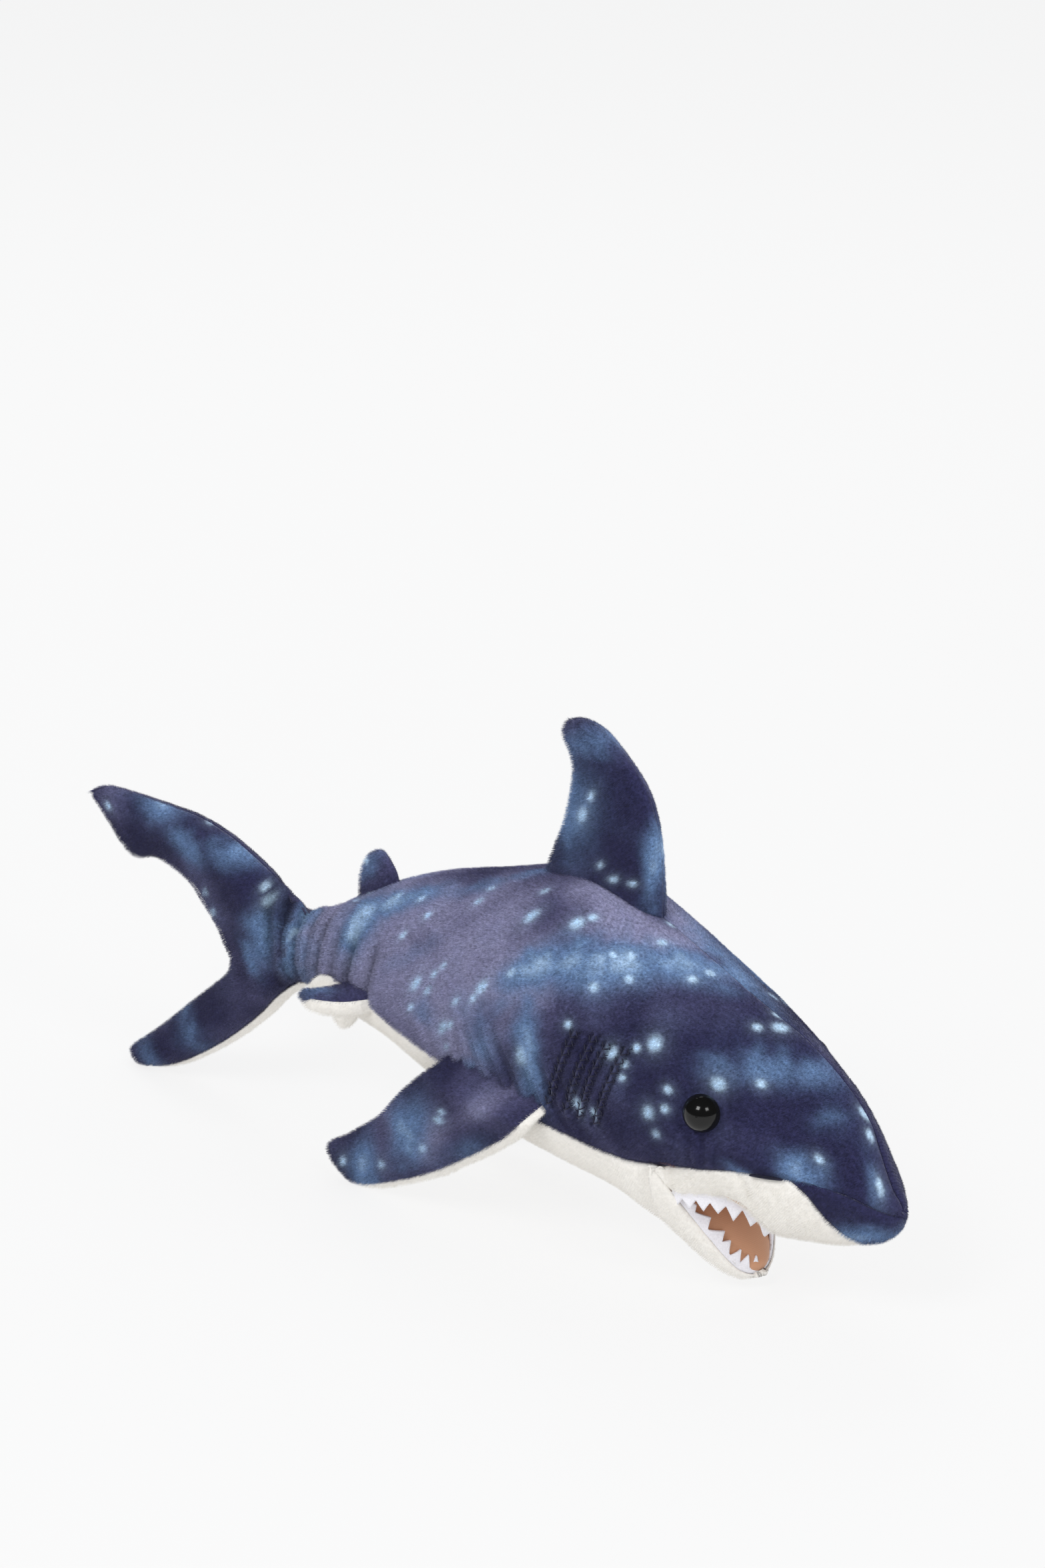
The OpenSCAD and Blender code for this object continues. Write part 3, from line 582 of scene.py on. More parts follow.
def gill_offset(x, z):
    """Distance forward from the nearest gill row, at height z; far away outside the rows."""
    best = np.full(np.shape(x), 99.0)
    for top_x, top_z in GILL_TOPS:
        share = (top_z - z) / (GILL_STITCHES * GILL_STEP)
        d = np.where((share > -0.03) & (share < 1.03), x - top_x - GILL_SLANT * share, 99.0)
        best = np.where(np.abs(d) < np.abs(best), d, best)
    return best


# Folds round the narrow part before the tail: x, width, depth, slant
NECK_FOLDS = [(-31, 2.8, 1.0, 0.25), (-45, 3.4, 1.5, 0.2), (-56, 2.8, 1.2, 0.12), (-67, 3.2, 1.9, 0.05),
              (-74, 2.2, 1.3, 0), (-81, 3.0, 2.1, -0.08), (-88, 2.6, 1.6, -0.15), (-95, 3.4, 1.2, -0.2)]
NECK_DEPTH, GATHER_DEPTH, GATHER_STEP = 2.8, 3.2, 8.5


def flank_folds(points):
    """The folds of the narrow part and the gathers above the pectoral fin, in millimetres."""
    x, _, z = points.T
    wobble = value_noise(points, 22, 3)
    neck = 0.0
    for at, wide, deep, slant in NECK_FOLDS:
        neck = neck - deep * bump(x + 2.2 * wobble, at + slant * (z - 75), wide)
    neck = NECK_DEPTH * neck * smooth((104 - z) / 14) * (0.75 + 0.5 * wobble)
    wave = TAU * (x + 0.35 * (z - 62) + 3 * wobble) / GATHER_STEP
    gather = -GATHER_DEPTH * (0.5 - 0.5 * np.cos(wave)) ** 2
    return neck + gather * bump(x, 42, 30) * smooth((98 - z) / 34) * smooth((z - 54) / 8)


def flank_relief(points):
    """How far the cloth stands out (+) or in (-), in millimetres, from folds, gathers and stitches."""
    x, _, z = points.T
    wobble = value_noise(points, 22, 3)
    lumps = 0.7 * value_noise(points, 34, 5) + 0.25 * value_noise(points, 11, 6)
    reach = np.hypot(x - EYE_X, (z - EYE_Z))
    socket = -2.4 * bump(reach, 0, 10.5) + 0.7 * bump(reach, 15, 5)
    tucks = -1.0 * (0.5 - 0.5 * np.cos(TAU * (x + 0.8 * wobble) / 5.5)) ** 2
    tucks = tucks * bump(x, EYE_X, 9) * smooth((EYE_Z - 6 - z) / 6)
    off = gill_offset(x, z)
    stitch = 0.5 + 0.5 * np.cos(TAU * z / GILL_STEP)
    gills = -1.5 * (bump(off, -1.4, 0.8) + bump(off, 1.4, 0.8)) * (0.5 + 0.5 * stitch)
    gills = gills + (0.5 + 0.4 * stitch) * bump(off, 0, 0.9)
    return lumps + flank_folds(points) + socket + tucks + gills


def seam_dip(points, faces, deep, wide):
    return -deep * np.exp(-border_distance(points, faces) / wide)


# ---- Tail: rows from the upper tip, round the fork, to the lower tip ----
TAIL_ROWS = [[-202.8, 112.6, -201, 109.2], [-194, 116.5, -192, 102], [-178, 117.2, -179, 89.5],
             [-160, 116.6, -164.5, 92], [-143, 116, -148, 86.5], [-127, 112.3, -139.5, 78.8],
             [-111, 105.6, -132.5, 70.5], [-97, 98.3, -129, 63.5], [-84.5, 91.5, -127, 60],
             [-83.6, 84, -126.5, 59], [-83.4, 75, -126.5, 58], [-83.6, 66, -127, 56.5],
             [-84.5, 60, -128, 54], [-95, 51.5, -131.5, 50], [-106, 40, -138, 44.5],
             [-122, 26.5, -149.5, 34.5], [-139, 14.5, -162.5, 23], [-156, 5, -174.5, 13.3],
             [-171, 0.8, -183.5, 6.5], [-178.5, 0.2, -184.5, 3.4]]
TAIL_WIDTH = [[-202, 1.5], [-190, 3.5], [-160, 5], [-130, 6.5], [-110, 9], [-95, 11], [-83, 12]]
TAIL_LAST = len(TAIL_ROWS) - 1
JOIN_TOP, JOIN_LOW = 8, 12
GUSSET_ROW = 11.6


def strip_plan(table, t, v):
    """Side-view place in rows [t, leading x, leading z, trailing x, trailing z]: t along them, v across."""
    edges = path(table, t)
    return mix(edges[..., :2], edges[..., 2:], np.asarray(v)[..., None])


def tail_plan(k, v):
    return strip_plan([[i] + row for i, row in enumerate(TAIL_ROWS)], k, v)


def body_half(x, z):
    """Half width of the torso at a side-view place."""
    x = np.maximum(x, TORSO[0][0])
    top, bottom, half, wide = (curve(TORSO, x, c) for c in (1, 2, 3, 4))
    reach = np.where(z > wide, (z - wide) / (top - wide), (wide - z) / (wide - bottom))
    return half * np.sqrt(np.clip(1 - np.clip(reach, 0, 1) ** 2, 0, 1))


def tail_half(k, v, x):
    part = np.clip((k - JOIN_TOP) / (JOIN_LOW - JOIN_TOP), 0, 1)
    opened = np.sqrt(np.sin(np.pi * part))
    tip = np.minimum(1, (np.minimum(k, TAIL_LAST - k) / 1.6)) ** 0.5
    front = opened + (1 - opened) * np.sin(np.pi / 2 * np.clip(v / 0.35, 0, 1)) ** 0.8
    rear = np.cos(np.pi / 2 * np.clip((v - 0.35) / 0.65, 0, 1)) ** 0.7
    return tip * np.where(v < 0.35, front, rear) * (curve(TAIL_WIDTH, x) * 0.9 + CLOTH)


def peduncle(x, z, k, v):
    """Half width where the torso runs into the tail: the two shapes with a soft union."""
    a, b = body_half(x, z), tail_half(k, v, x)
    return (a ** 4 + b ** 4) ** 0.25


def strip_edge(k):
    return 0.07 * smooth((k - GUSSET_ROW) * 1.5)


def flank_grid(columns=112):
    """The side skin of body and tail, right side: points, faces, cloth coordinates."""
    xs = np.concatenate([[NOSE_X, 199.2, 198.5, 197.5, 196.3], np.arange(195, 106, -1.15),
                         np.arange(105.5, 66, -0.6), np.arange(65.5, TAIL_JOIN, -1.15), [TAIL_JOIN]])
    fine = np.linspace(0, 1, 240)
    rings = np.array([torso_at(x, fine * seam_angle(x)) for x in xs])
    body, lengths = even(rings, columns)
    ring_z = body[-1, :, 2]
    ks = JOIN_TOP + (JOIN_LOW - JOIN_TOP) * (ring_z[0] - ring_z) / (ring_z[0] - ring_z[-1])
    edge = tail_plan(ks, strip_edge(ks))
    bridge = []
    for s in np.linspace(0, 1, 11)[1:]:
        x = mix(body[-1, :, 0], edge[:, 0], s)
        z = mix(ring_z, edge[:, 1], s)
        y = mix(body_half(x, z), peduncle(x, z, ks, strip_edge(ks)), s)
        y[0] = 0
        bridge.append(np.stack([x, -y, z], -1))
    front = np.concatenate([body, np.array(bridge)])
    runs = np.concatenate([lengths, [lengths[-1]] * len(bridge)])
    down = np.linspace(0, 1, columns)[None, :] * runs[:, None]
    k_all = np.concatenate([np.linspace(0, JOIN_TOP, 80)[:-1], ks, np.linspace(JOIN_LOW, TAIL_LAST, 70)[1:]])
    vs = np.linspace(0, 1, 44)
    edge_all = strip_edge(k_all)[:, None]
    v = edge_all + (1 - edge_all) * vs[None, :]
    kk = np.repeat(k_all[:, None], len(vs), 1)
    plan = tail_plan(kk, v)
    y = peduncle(plan[..., 0], plan[..., 1], kk, v)
    y = np.where((kk <= JOIN_TOP) & (v == 0), 0, y)
    fin = np.stack([plan[..., 0], -y, plan[..., 1]], -1)
    in_join = slice(79, 79 + len(ks))
    fin[in_join, 0] = front[-1]
    fin_coords = np.stack([fin[..., 0], 92 - fin[..., 2]], -1)
    fin_coords[in_join, 0] = np.stack([front[-1, :, 0], down[-1]], -1)
    coords = np.stack([front[..., 0], down], -1)
    return weld([(front.reshape(-1, 3), grid_faces(*front.shape[:2], flip=False), coords.reshape(-1, 2)),
                 (fin.reshape(-1, 3), grid_faces(*fin.shape[:2], flip=True), fin_coords.reshape(-1, 2))])


def mirrored(points):
    return points * np.array([1, -1, 1])


def flipped(faces):
    return [tuple(reversed(f)) for f in faces]


def across(half):
    """A row from the right edge over the middle plane to the left edge."""
    return np.concatenate([half, mirrored(half)[::-1][1:]])


def outward(points, faces, middle=(0, 0, 80)):
    """Faces turned so that their normals point away from the middle line."""
    n = normals_of(points, faces)
    away = points - np.array(middle)
    away[:, 0] = 0
    return faces if (n * away).sum() > 0 else flipped(faces)


def flank_colours(points, coords, sign):
    """The print, with painted shade in the folds and in the troughs beside the gill stitches; the left side,
    which isn't the same, is scattered.
    """
    if sign > 0:
        colours = print_colours(*coords.T, points, 11, FLANK_CLOUDS, FLANK_SPOTS, FLANK_GROUND_AND_SHEEN)
    else:
        clouds = scattered(16, [(-195, 190), (-10, 90), (14, 34), (5, 10), (-40, 20), (0.5, 0.95)], 5)
        spots = scattered(70, [(-195, 195), (0, 100), (1.2, 2.8), (20, 60)], 6)
        colours = print_colours(*coords.T, mirrored(points), 23, clouds, spots, FLANK_GROUND_AND_SHEEN)
    # Painted shade: the print darkened in the folds' hollows and in the stitch troughs
    folds = np.clip(-flank_folds(points) / 3, 0, 1)
    troughs = np.clip(bump(np.abs(gill_offset(points[:, 0], points[:, 2])), 1.4, 0.9), 0, 1)
    return colours * (1 - 0.42 * folds - 0.45 * troughs)[:, None]


def side_skin(side, sign):
    points, faces, coords = flank_grid()
    faces = outward(points, faces)
    near_join = smooth((points[:, 0] + 112) / 14) * smooth((-66 - points[:, 0]) / 10)
    points = relax(points, faces, near_join, 14)
    colours = flank_colours(points, coords, sign)
    fade = 0.35 + 0.65 * smooth(border_distance(points, faces) / 5)
    ridge = bump(points[:, 1], 0, 6) * smooth((points[:, 0] - 84) / 10) * smooth((points[:, 2] - 70) / 8)
    relief = flank_relief(points) * fade + seam_dip(points, faces, 1.3, 1.6) * (1 - 0.9 * ridge)
    points = points + normals_of(points, faces) * relief[:, None]
    if sign < 0:
        points, faces = mirrored(points), flipped(faces)
    points[:, 1] = np.where(sign * points[:, 1] > -0.15, -0.15 * sign, points[:, 1])
    piece = make_piece(f"back_skin_{side}", points, faces, PLUSH, colours)
    bare = (np.abs(gill_offset(points[:, 0], points[:, 2])) < 2.0)
    bare |= np.hypot(points[:, 0] - EYE_X, points[:, 2] - EYE_Z) < 7.5
    piece.vertex_groups["outer"].remove(np.flatnonzero(bare & (points[:, 2] > 60)).tolist())
    dress(piece, PRINTED)
    add_pile(piece, PRINTED_PILE, 7.0, 1.4, 31 if sign > 0 else 32)
    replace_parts(piece, f"back_panel_{side}", f"tail_panel_{side}")
    return piece


def part(grid, flip=False):
    """A grid of points for weld, with no cloth coordinates."""
    return grid.reshape(-1, 3), grid_faces(*grid.shape[:2], flip), np.zeros((grid.size // 3, 2))


def halves(grid):
    return [part(grid), part(mirrored(grid), True)]


def skin_piece(name, parts, thick, material, relief=None, dip=(0.9, 1.4), middle=(0, 0, 80),
               paint=None):
    """A cloth skin from grids that meet edge to edge; relief and paint are functions of its points."""
    points, faces, _ = weld(parts)
    faces = outward(points, faces, middle)
    colours = paint(points) if paint else None
    shift = seam_dip(points, faces, *dip)
    if relief:
        shift = shift + relief(points)
    points = points + normals_of(points, faces) * shift[:, None]
    return dress(make_piece(name, points, faces, thick, colours), material)


def soft_lumps(points):
    return 0.5 * value_noise(points, 26, 8) + 0.15 * value_noise(points, 8, 9)


BELLY_SPLIT = 38


def belly_skin():
    xs = np.arange(BELLY_SPLIT, -84, -1.6)
    grid, _ = even([across(arc(x, a, 180)) for x, a in zip(xs, seam_angle(xs))], 61)
    piece = skin_piece("belly_skin", [part(grid)], PLUSH, CREAM, soft_lumps)
    add_pile(piece, CREAM_PILE, 3.0, 1.0, 41)
    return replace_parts(piece, "belly_panel")


# Edge of the throat skin, from the end of the body seam round the mouth corner and down the jaw's rim
THROAT_EDGE = [[0, 113, -36.5, 53.3], [1, 117.2, -33.6, 47.5], [2, 119.8, -30.4, 41.5], [3, 123.5, -25, 32.5],
               [4, 128, -19.8, 23], [5, 131.7, -15.3, 15.4], [6, 134.6, -10.8, 9.7], [7, 136.6, -5.6, 6.6],
               [8, 137.4, -0.01, 5.8]]
THROAT_KEEL = [[0, 109, 12.5], [1, 113, 10.5], [2, 117, 8.2], [3, 123, 5.2], [4, 128.5, 3.4], [5, 133, 3.2],
               [6, 136.2, 4.2], [7, 137.8, 5.2], [8, 138.6, 5.8]]


def throat_ring(keel, edge, turn, slim=0.95):
    """From the keel up to the edge; a larger slim narrows the shape towards the keel."""
    up = 1 - np.cos(turn) ** 1.15
    y = edge[1] * np.sin(turn) ** slim
    return np.stack([mix(keel[0], edge[0], up), y, mix(keel[2], edge[2], up)], -1)


def throat_grid(columns=61, n=50):
    turn = np.linspace(0, np.pi / 2, n)
    rows = []
    for x in np.arange(BELLY_SPLIT, 109, 1.6):
        edge_x = mix(x, x + 4, smooth((x - 92) / 17))
        edge = torso_at(edge_x, seam_angle(edge_x))
        ring = arc(x, 180, angle_at(x, edge[2], THROAT), n, THROAT)
        ring[:, 0] = mix(x, edge_x, np.linspace(0, 1, n) ** 2)
        ring[:, 1] *= edge[1] / ring[-1, 1]
        jaw = throat_ring(np.array([x, 0, curve(THROAT, x, 2)]), edge, turn, 1.25)
        rows.append(mix(ring, jaw, smooth((x - 84) / 22)))
    for t in np.linspace(0, 8, 46):
        keel_x, keel_z = path(THROAT_KEEL, t)
        slim = mix(1.25, 0.95, smooth((t - 1) / 4))
        rows.append(throat_ring(np.array([keel_x, 0, keel_z]), path(THROAT_EDGE, t), turn, slim))
    return even([across(row[::-1]) for row in rows], columns)[0]


def throat_skin():
    piece = skin_piece("throat_skin", [part(throat_grid())], PLUSH, CREAM, soft_lumps,
                       (0.7, 1.2))
    add_pile(piece, CREAM_PILE, 3.0, 0.9, 42)
    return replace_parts(piece, "jaw_cover")


# Lower edge of the lip skin: round the mouth from its corner to the front, then along the keel to the gusset
LIP_LOW = [[0, 113, -36.5, 53.3], [1, 117, -33.6, 47.6], [2, 119.8, -31, 43], [3, 126.5, -30.3, 43.8],
           [4, 133.5, -28.4, 44.6], [5, 141, -23.6, 43.6], [6, 146.5, -16.8, 39.2], [7, 149.6, -8.6, 32],
           [8, 150.5, 0, 28.4], [9, 157, 0, 28.4], [10, 164, 0, 28.9], [11, 171, 0, 29.6], [12, 178, 0, 30.9],
           [13, 184, 0, 33.2]]
LIP_TOP = [[0, 113], [1, 115.5], [2, 119], [3, 126], [4, 133.5], [5, 141], [6, 148], [7, 154], [8, 160],
           [9, 166], [10, 171], [11, 175.5], [12, 180], [13, 184]]


def lip_grid(rows=90, columns=30):
    out = []
    s = np.linspace(0, 1, 60)
    for t in np.linspace(0, 13, rows):
        low = path(LIP_LOW, t)
        low[1] = min(low[1], 0)
        x_top = float(curve(LIP_TOP, t))
        top_angle = float(seam_angle(x_top) if x_top < GUSSET_REAR else cream_front_angle(x_top))
        low_angle = float(keel_angle(low[0], low[1]))
        base = torso_at(mix(x_top, low[0], s), mix(top_angle, low_angle, s), LIP_BODY)
        out.append(base + (low - base[-1]) * (s ** 1.6)[:, None])
    return even(out, columns)[0]


def lip_relief(points):
    """Puffed cloth, with the pleat that runs down from the rear of the nostril."""
    x, _, z = points.T
    pleat = -1.1 * bump(x + 0.25 * (z - 58), 149, 1.6) * smooth((z - 40) / 12)
    tucks = -0.35 * np.cos(TAU * x / 6.3) * smooth((52 - z) / 10) * smooth((150 - x) / 10)
    return pleat + tucks + soft_lumps(points) * 0.8


def lip_skin():
    """The cream cloth from the mouth's edge up to the printed back, and on under the snout."""
    piece = skin_piece("lip_skin", halves(lip_grid()), PLUSH, CREAM, lip_relief, (0.8, 1.3),
                       (0, 0, 75))
    add_pile(piece, CREAM_PILE, 4.0, 1.3, 43)
    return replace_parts(piece, "upper_lip_panel")


def snout_colours(points):
    return print_colours(points[:, 0], points[:, 2], points, 31, [(189, 38, 12, 5, 12, 0.8)], [],
                         [(178, 48, 12, 14, 0, -1.2), (192, 45, 12, 12, 0, -0.5)])


def snout_skin():
    """The printed gusset under the nose: two strips beside the lip, then the whole front."""
    beside = np.concatenate([np.arange(GUSSET_REAR + 0.5, GUSSET_FRONT, 1.2), [GUSSET_FRONT]])
    ahead = np.concatenate([np.arange(GUSSET_FRONT, 199, 1.0), [199, NOSE_X]])
    strips = [arc(x, a, b) for x, a, b in zip(beside, seam_angle(beside), cream_front_angle(beside))]
    front = [arc(x, a, 180) for x, a in zip(ahead, seam_angle(ahead))]
    parts = halves(even(strips, 26)[0]) + halves(even(front, 26)[0])
    piece = skin_piece("snout_skin", parts, PLUSH, PRINTED, soft_lumps, (1.2, 1.5),
                       (0, 0, 75), snout_colours)
    add_pile(piece, PRINTED_PILE, 7.0, 1.4, 33)
    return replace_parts(piece, "snout_gusset")


# ---- Mouth ----
MOUTH_COLUMNS = 41
# Unit direction that the lower jaw's opening faces
OPENING = np.array([0.884, 0, 0.467])


def palate_skin():
    rows = []
    for x in np.concatenate([np.linspace(JAW_X - 3, LIP_FRONT - 1, 28), [LIP_FRONT - 0.3]]):
        station = max(x, JAW_X + 0.01)
        half = arc(station, min(179.4, lip_angle(station)), 180, 40)
        half[:, 0] = x
        half[:, 2] += 0.4
        rows.append(across(half))
    grid, _ = even(rows, MOUTH_COLUMNS)
    piece = skin_piece("palate_lining_cloth", [part(grid)], KNIT_CLOTH, KNIT, None, (0.1, 1.0))
    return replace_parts(piece, "palate_lining")


def jaw_floor():
    """The knit floor of the mouth: a crowned pad between the jaw's rims, and its fold up to the palate."""
    rows = []
    for x, z, w in [(113.0, 47.5, 29.0), (115.0, 46.5, 29.5)]:
        ys = np.linspace(-w, w, MOUTH_COLUMNS)
        rows.append(np.stack([np.full(MOUTH_COLUMNS, x), ys, z + 3.5 * np.cos(ys / w * np.pi / 2)], -1))
    s = np.linspace(-1, 1, MOUTH_COLUMNS)
    for t in np.linspace(1.7, 7.7, 40):
        edge = path(THROAT_EDGE, t)
        flat = np.stack([np.full(MOUTH_COLUMNS, edge[0] - 0.8), (-edge[1] - 1.2) * s,
                         np.full(MOUTH_COLUMNS, edge[2] - 0.6)], -1)
        crown = 5.0 * smooth((t - 1.7) / 2.2) * smooth((8.1 - t) / 2.0) * (1 - s * s) ** 0.8
        rows.append(flat + (crown - 1.2)[:, None] * OPENING)
    piece = skin_piece("mouth_floor", [part(np.array(rows))], KNIT_CLOTH, KNIT, None,
                       (0.2, 1.0), (0, 0, 0))
    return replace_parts(piece, "jaw_lining")


def tooth_strip(name, base, up, out, count, band, height, seed, ends, curl, worn):
    """A felt band along base with count triangular teeth along up.

    ends is the share of the height left at the mouth's corners, and curl the bend along out. Between
    the two shares in worn the band is narrow and its teeth are short.
    """
    rng = np.random.default_rng(seed)
    tips = (np.arange(count) + 0.5 + rng.uniform(-0.12, 0.12, count)) / count
    tall = height * (1 + rng.uniform(-0.15, 0.15, count)) * mix(ends, 1, np.sin(np.pi * tips) ** 0.6)
    tall[(tips > worn[0]) & (tips < worn[1])] *= 0.2
    along = np.linspace(0, 1, len(base))
    near = np.argmin(np.abs(along[:, None] - tips[None, :]), 1)
    slope = np.clip(1 - np.abs(along - tips[near]) * count * 2, 0, 1)
    narrow = smooth((along - worn[0]) * 30) * smooth((worn[1] - along) * 30)
    reach = band * mix(ends, 1, np.sin(np.pi * along) ** 0.5) * (1 - 0.8 * narrow) + tall[near] * slope
    layers = np.linspace(0, 1, 6)
    front = base[:, None] + up[:, None] * (reach[:, None] * layers)[..., None]
    front = front + out[:, None] * (curl * layers ** 2 * reach[:, None] / (band + height))[..., None]
    wave = 0.25 * np.sin(along * count * 5.1 + seed)[:, None, None] * out[:, None]
    front = front + wave * layers[None, :, None]
    points = front.reshape(-1, 3)
    faces = [tuple(f) for f in grid_faces(*front.shape[:2]).tolist()]
    if (normals_of(points, faces) * np.repeat(out, len(layers), 0)).sum() < 0:
        faces = flipped(faces)
    return dress(make_piece(name, points, faces, FELT_CLOTH), FELT)


def upper_teeth():
    base = across(path(LIP_LOW, np.linspace(1.9, 8, 240)))
    base[:, 1] *= 0.975
    base = base + np.array([-0.5, 0, 1.2])
    ahead = unit(np.gradient(base, axis=0))
    out = unit(np.cross(ahead, np.array([0, 0, 1.0])))
    out = np.where(((base - [125, 0, 40]) * out).sum(1, keepdims=True) < 0, -out, out)
    up = unit(-0.22 * out + np.array([0, 0, -1.0]))
    piece = tooth_strip("upper_tooth_band", base, up, out, 17, 4.8, 5.8, 3, 0.5, 0.8, (0.43, 0.84))
    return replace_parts(piece, "upper_teeth")


def lower_teeth():
    base = across(path(THROAT_EDGE, np.linspace(2.05, 8, 200)))
    base = base - np.array([0.5, 0, 0.3])
    base[:, 1] *= 0.97
    inward = np.array([125.0, 0, 26]) - base
    inward = unit(inward - (inward @ OPENING)[:, None] * OPENING)
    up = unit(0.5 * OPENING + 0.9 * inward)
    out = unit(0.9 * OPENING - 0.5 * inward)
    piece = tooth_strip("lower_tooth_band", base, up, out, 15, 2.2, 4.3, 4, 0.7, 0.5, (0.49, 0.64))
    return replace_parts(piece, "lower_teeth")


# ---- Fins: rows from root to tip, each [leading x, leading z, trailing x, trailing z] ----
def fin_plan(rows, u, v):
    last = len(rows) - 1
    return strip_plan([[i / last] + row for i, row in enumerate(rows)], u, v)


def fin_half(u, v, pad):
    across = np.sqrt(np.clip(4 * v * (1 - v), 0, 1)) ** 0.85
    return pad * across * (1 - 0.45 * u) * np.sqrt(np.clip((1 - u) / 0.14, 0, 1))


def fin_grid(rows, pad, n, m, wrap=0.0, under=False):
    """One face of a fin; with wrap the underside runs round the leading edge, by that share of the chord."""
    u, w = np.meshgrid(np.linspace(0, 1, n), (1 - np.cos(np.linspace(0, np.pi, m))) / 2, indexing="ij")
    seam = wrap * (1 + 1.4 * u) * smooth((0.97 - u) / 0.2)
    v = w if under else seam + (1 - seam) * w
    plan = fin_plan(rows, u, v)
    face = np.stack([plan[..., 0], -fin_half(u, v, pad), plan[..., 1]], -1)
    if not (under and wrap):
        return face
    v = seam[:, :7] * (1 - np.linspace(0, 1, 7)) ** 2
    plan = fin_plan(rows, u[:, :7], v)
    edge = np.stack([plan[..., 0], fin_half(u[:, :7], v, pad), plan[..., 1]], -1)
    return np.concatenate([edge[:, :-1], face], 1)


def turned(points, about_x, about_z):
    a, b = math.radians(about_x), math.radians(about_z)
    rx = np.array([[1, 0, 0], [0, math.cos(a), -math.sin(a)], [0, math.sin(a), math.cos(a)]])
    rz = np.array([[math.cos(b), -math.sin(b), 0], [math.sin(b), math.cos(b), 0], [0, 0, 1]])
    return points @ (rz @ rx).T


def fin_piece(name, node, rows, pad, size, flip, seed, marks=None, wrap=0.0, place=None, sign=1):
    """One face of a fin, a grid of size (along, across) points, printed where it has marks.

    flip is -1 for the face that looks along +Y before place moves the fin to its root, and sign is
    -1 on the left of the body. marks are the clouds, the spots and, where it has one, the ground.
    """
    grid = fin_grid(rows, pad, *size, wrap, flip < 0)
    flat = grid.reshape(-1, 3)
    points, faces, coords = weld([(flat, grid_faces(*grid.shape[:2]), flat[:, [0, 2]])])
    if normals_of(points, faces)[:, 1].sum() > 0:
        faces = flipped(faces)
    puff = 0.45 * value_noise(points, 14, seed) + 0.2 * value_noise(points, 6, seed + 1)
    distance = border_distance(points, faces)
    pucker = -0.35 * np.cos(TAU * (points[:, 0] + points[:, 2]) / 5) * np.exp(-distance / 3)
    shift = (puff + pucker) * smooth(distance / 3)
    points = points + normals_of(points, faces) * shift[:, None]
    if wrap == 0:
        points[:, 1] = np.minimum(points[:, 1], -0.1)
    colours = print_colours(*coords.T, points, seed, *marks) if marks else None
    if flip < 0:
        points, faces = mirrored(points), flipped(faces)
    if place:
        points = place(points)
    if sign < 0:
        points, faces = mirrored(points), flipped(faces)
    piece = make_piece(name, points, faces, FIN_PLUSH, colours)
    if marks:
        dress(piece, PRINTED)
        add_pile(piece, PRINTED_PILE, 8.0, 1.3, seed)
    else:
        dress(piece, CREAM)
        add_pile(piece, CREAM_PILE, 3.5, 1.2, seed)
    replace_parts(piece, node)
    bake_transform(piece)

DORSAL_ROWS = [
    [89.5, 129, 34, 131], [89.8, 138.5, 37.5, 139.5], [89.3, 148.5, 41, 148], [87.8, 162, 45.5, 158.5],
    [83.3, 175.5, 48.5, 171.5], [76.5, 185, 49.5, 181], [67.3, 192.8, 47, 188], [59, 197.8, 44.5, 193.5],
    [52, 199.2, 45.6, 197.2]]
SECOND_DORSAL_ROWS = [[-36, 108, -57, 100], [-38, 114.3, -56, 106.5], [-39.5, 117.7, -56, 109.5],
                      [-42, 121.2, -55.5, 113.7], [-45, 123.7, -53.5, 118.2], [-48, 124.2, -51.5, 121.7]]
ANAL_ROWS = [[-57, 59, -73, 59], [-59, 53.8, -72, 54.8], [-61, 50.3, -71.5, 50.8], [-63.5, 47.3, -70, 47.8],
             [-66, 45.8, -68, 46]]
PECTORAL_ROWS = [
    [56, 6.5, 4, 12], [51, -0.5, 0, 6], [43, -9.5, -9, -2], [32, -18.3, -17, -9.5],
    [20.5, -26.5, -24.5, -17.5], [8, -35, -32, -25.5], [-6, -43.5, -42.5, -33.5], [-23, -52, -52, -40.5],
    [-39, -59, -59.5, -45], [-50, -60, -63, -48], [-57, -58, -63.5, -51]]
PECTORAL_ROOT = np.array([15, -39, 60])
PELVIC_ROWS = [[3, 5, -14, 5], [0, 0, -17, 0], [-4, -5, -19.5, -3.5], [-10, -9, -22.5, -6.5],
               [-17, -11.5, -25.5, -9], [-22.5, -12, -27, -10.5]]
PELVIC_ROOT = np.array([-31, -26, 73])
ROOT_GAP = 1.2


LEFT_SEED = 4


def at_pectoral(points):
    below = 7 + (56 - points[:, 0]) * 5 / 52 - points[:, 2]
    tucked = points + np.outer(11 * (1 - smooth(below / 11)), [0, 1, 0])
    return turned(tucked, 8, -3.5) + PECTORAL_ROOT - [0, ROOT_GAP, 0]


def at_pelvic(points):
    return turned(points, 8 - 90, -10) + PELVIC_ROOT - [0, ROOT_GAP, 0]


def middle_fin(name, node, rows, pad, size, seed, marks=None):
    """A fin on the middle plane, with a right face and a left face."""
    for side, sign in SIDES:
        fin_piece(f"{name}_{side}", f"{node}_{side}", rows, pad, size, sign,
                  seed if sign > 0 else seed + LEFT_SEED, marks)


def paired_fins(kind, rows, pad, sizes, seed, marks, wrap, place):
    """A fin on each side, with a printed top and a cream underside."""
    for side, sign in SIDES:
        first = seed if sign > 0 else seed + LEFT_SEED
        fin_piece(f"{kind}_skin_{side}", f"{kind}_top_{side}", rows, pad, sizes[0], 1, first,
                  marks, wrap, place, sign)
        fin_piece(f"{kind}_under_{side}", f"{kind}_underside_{side}", rows, pad, sizes[1], -1, first + 1,
                  None, wrap, place, sign)


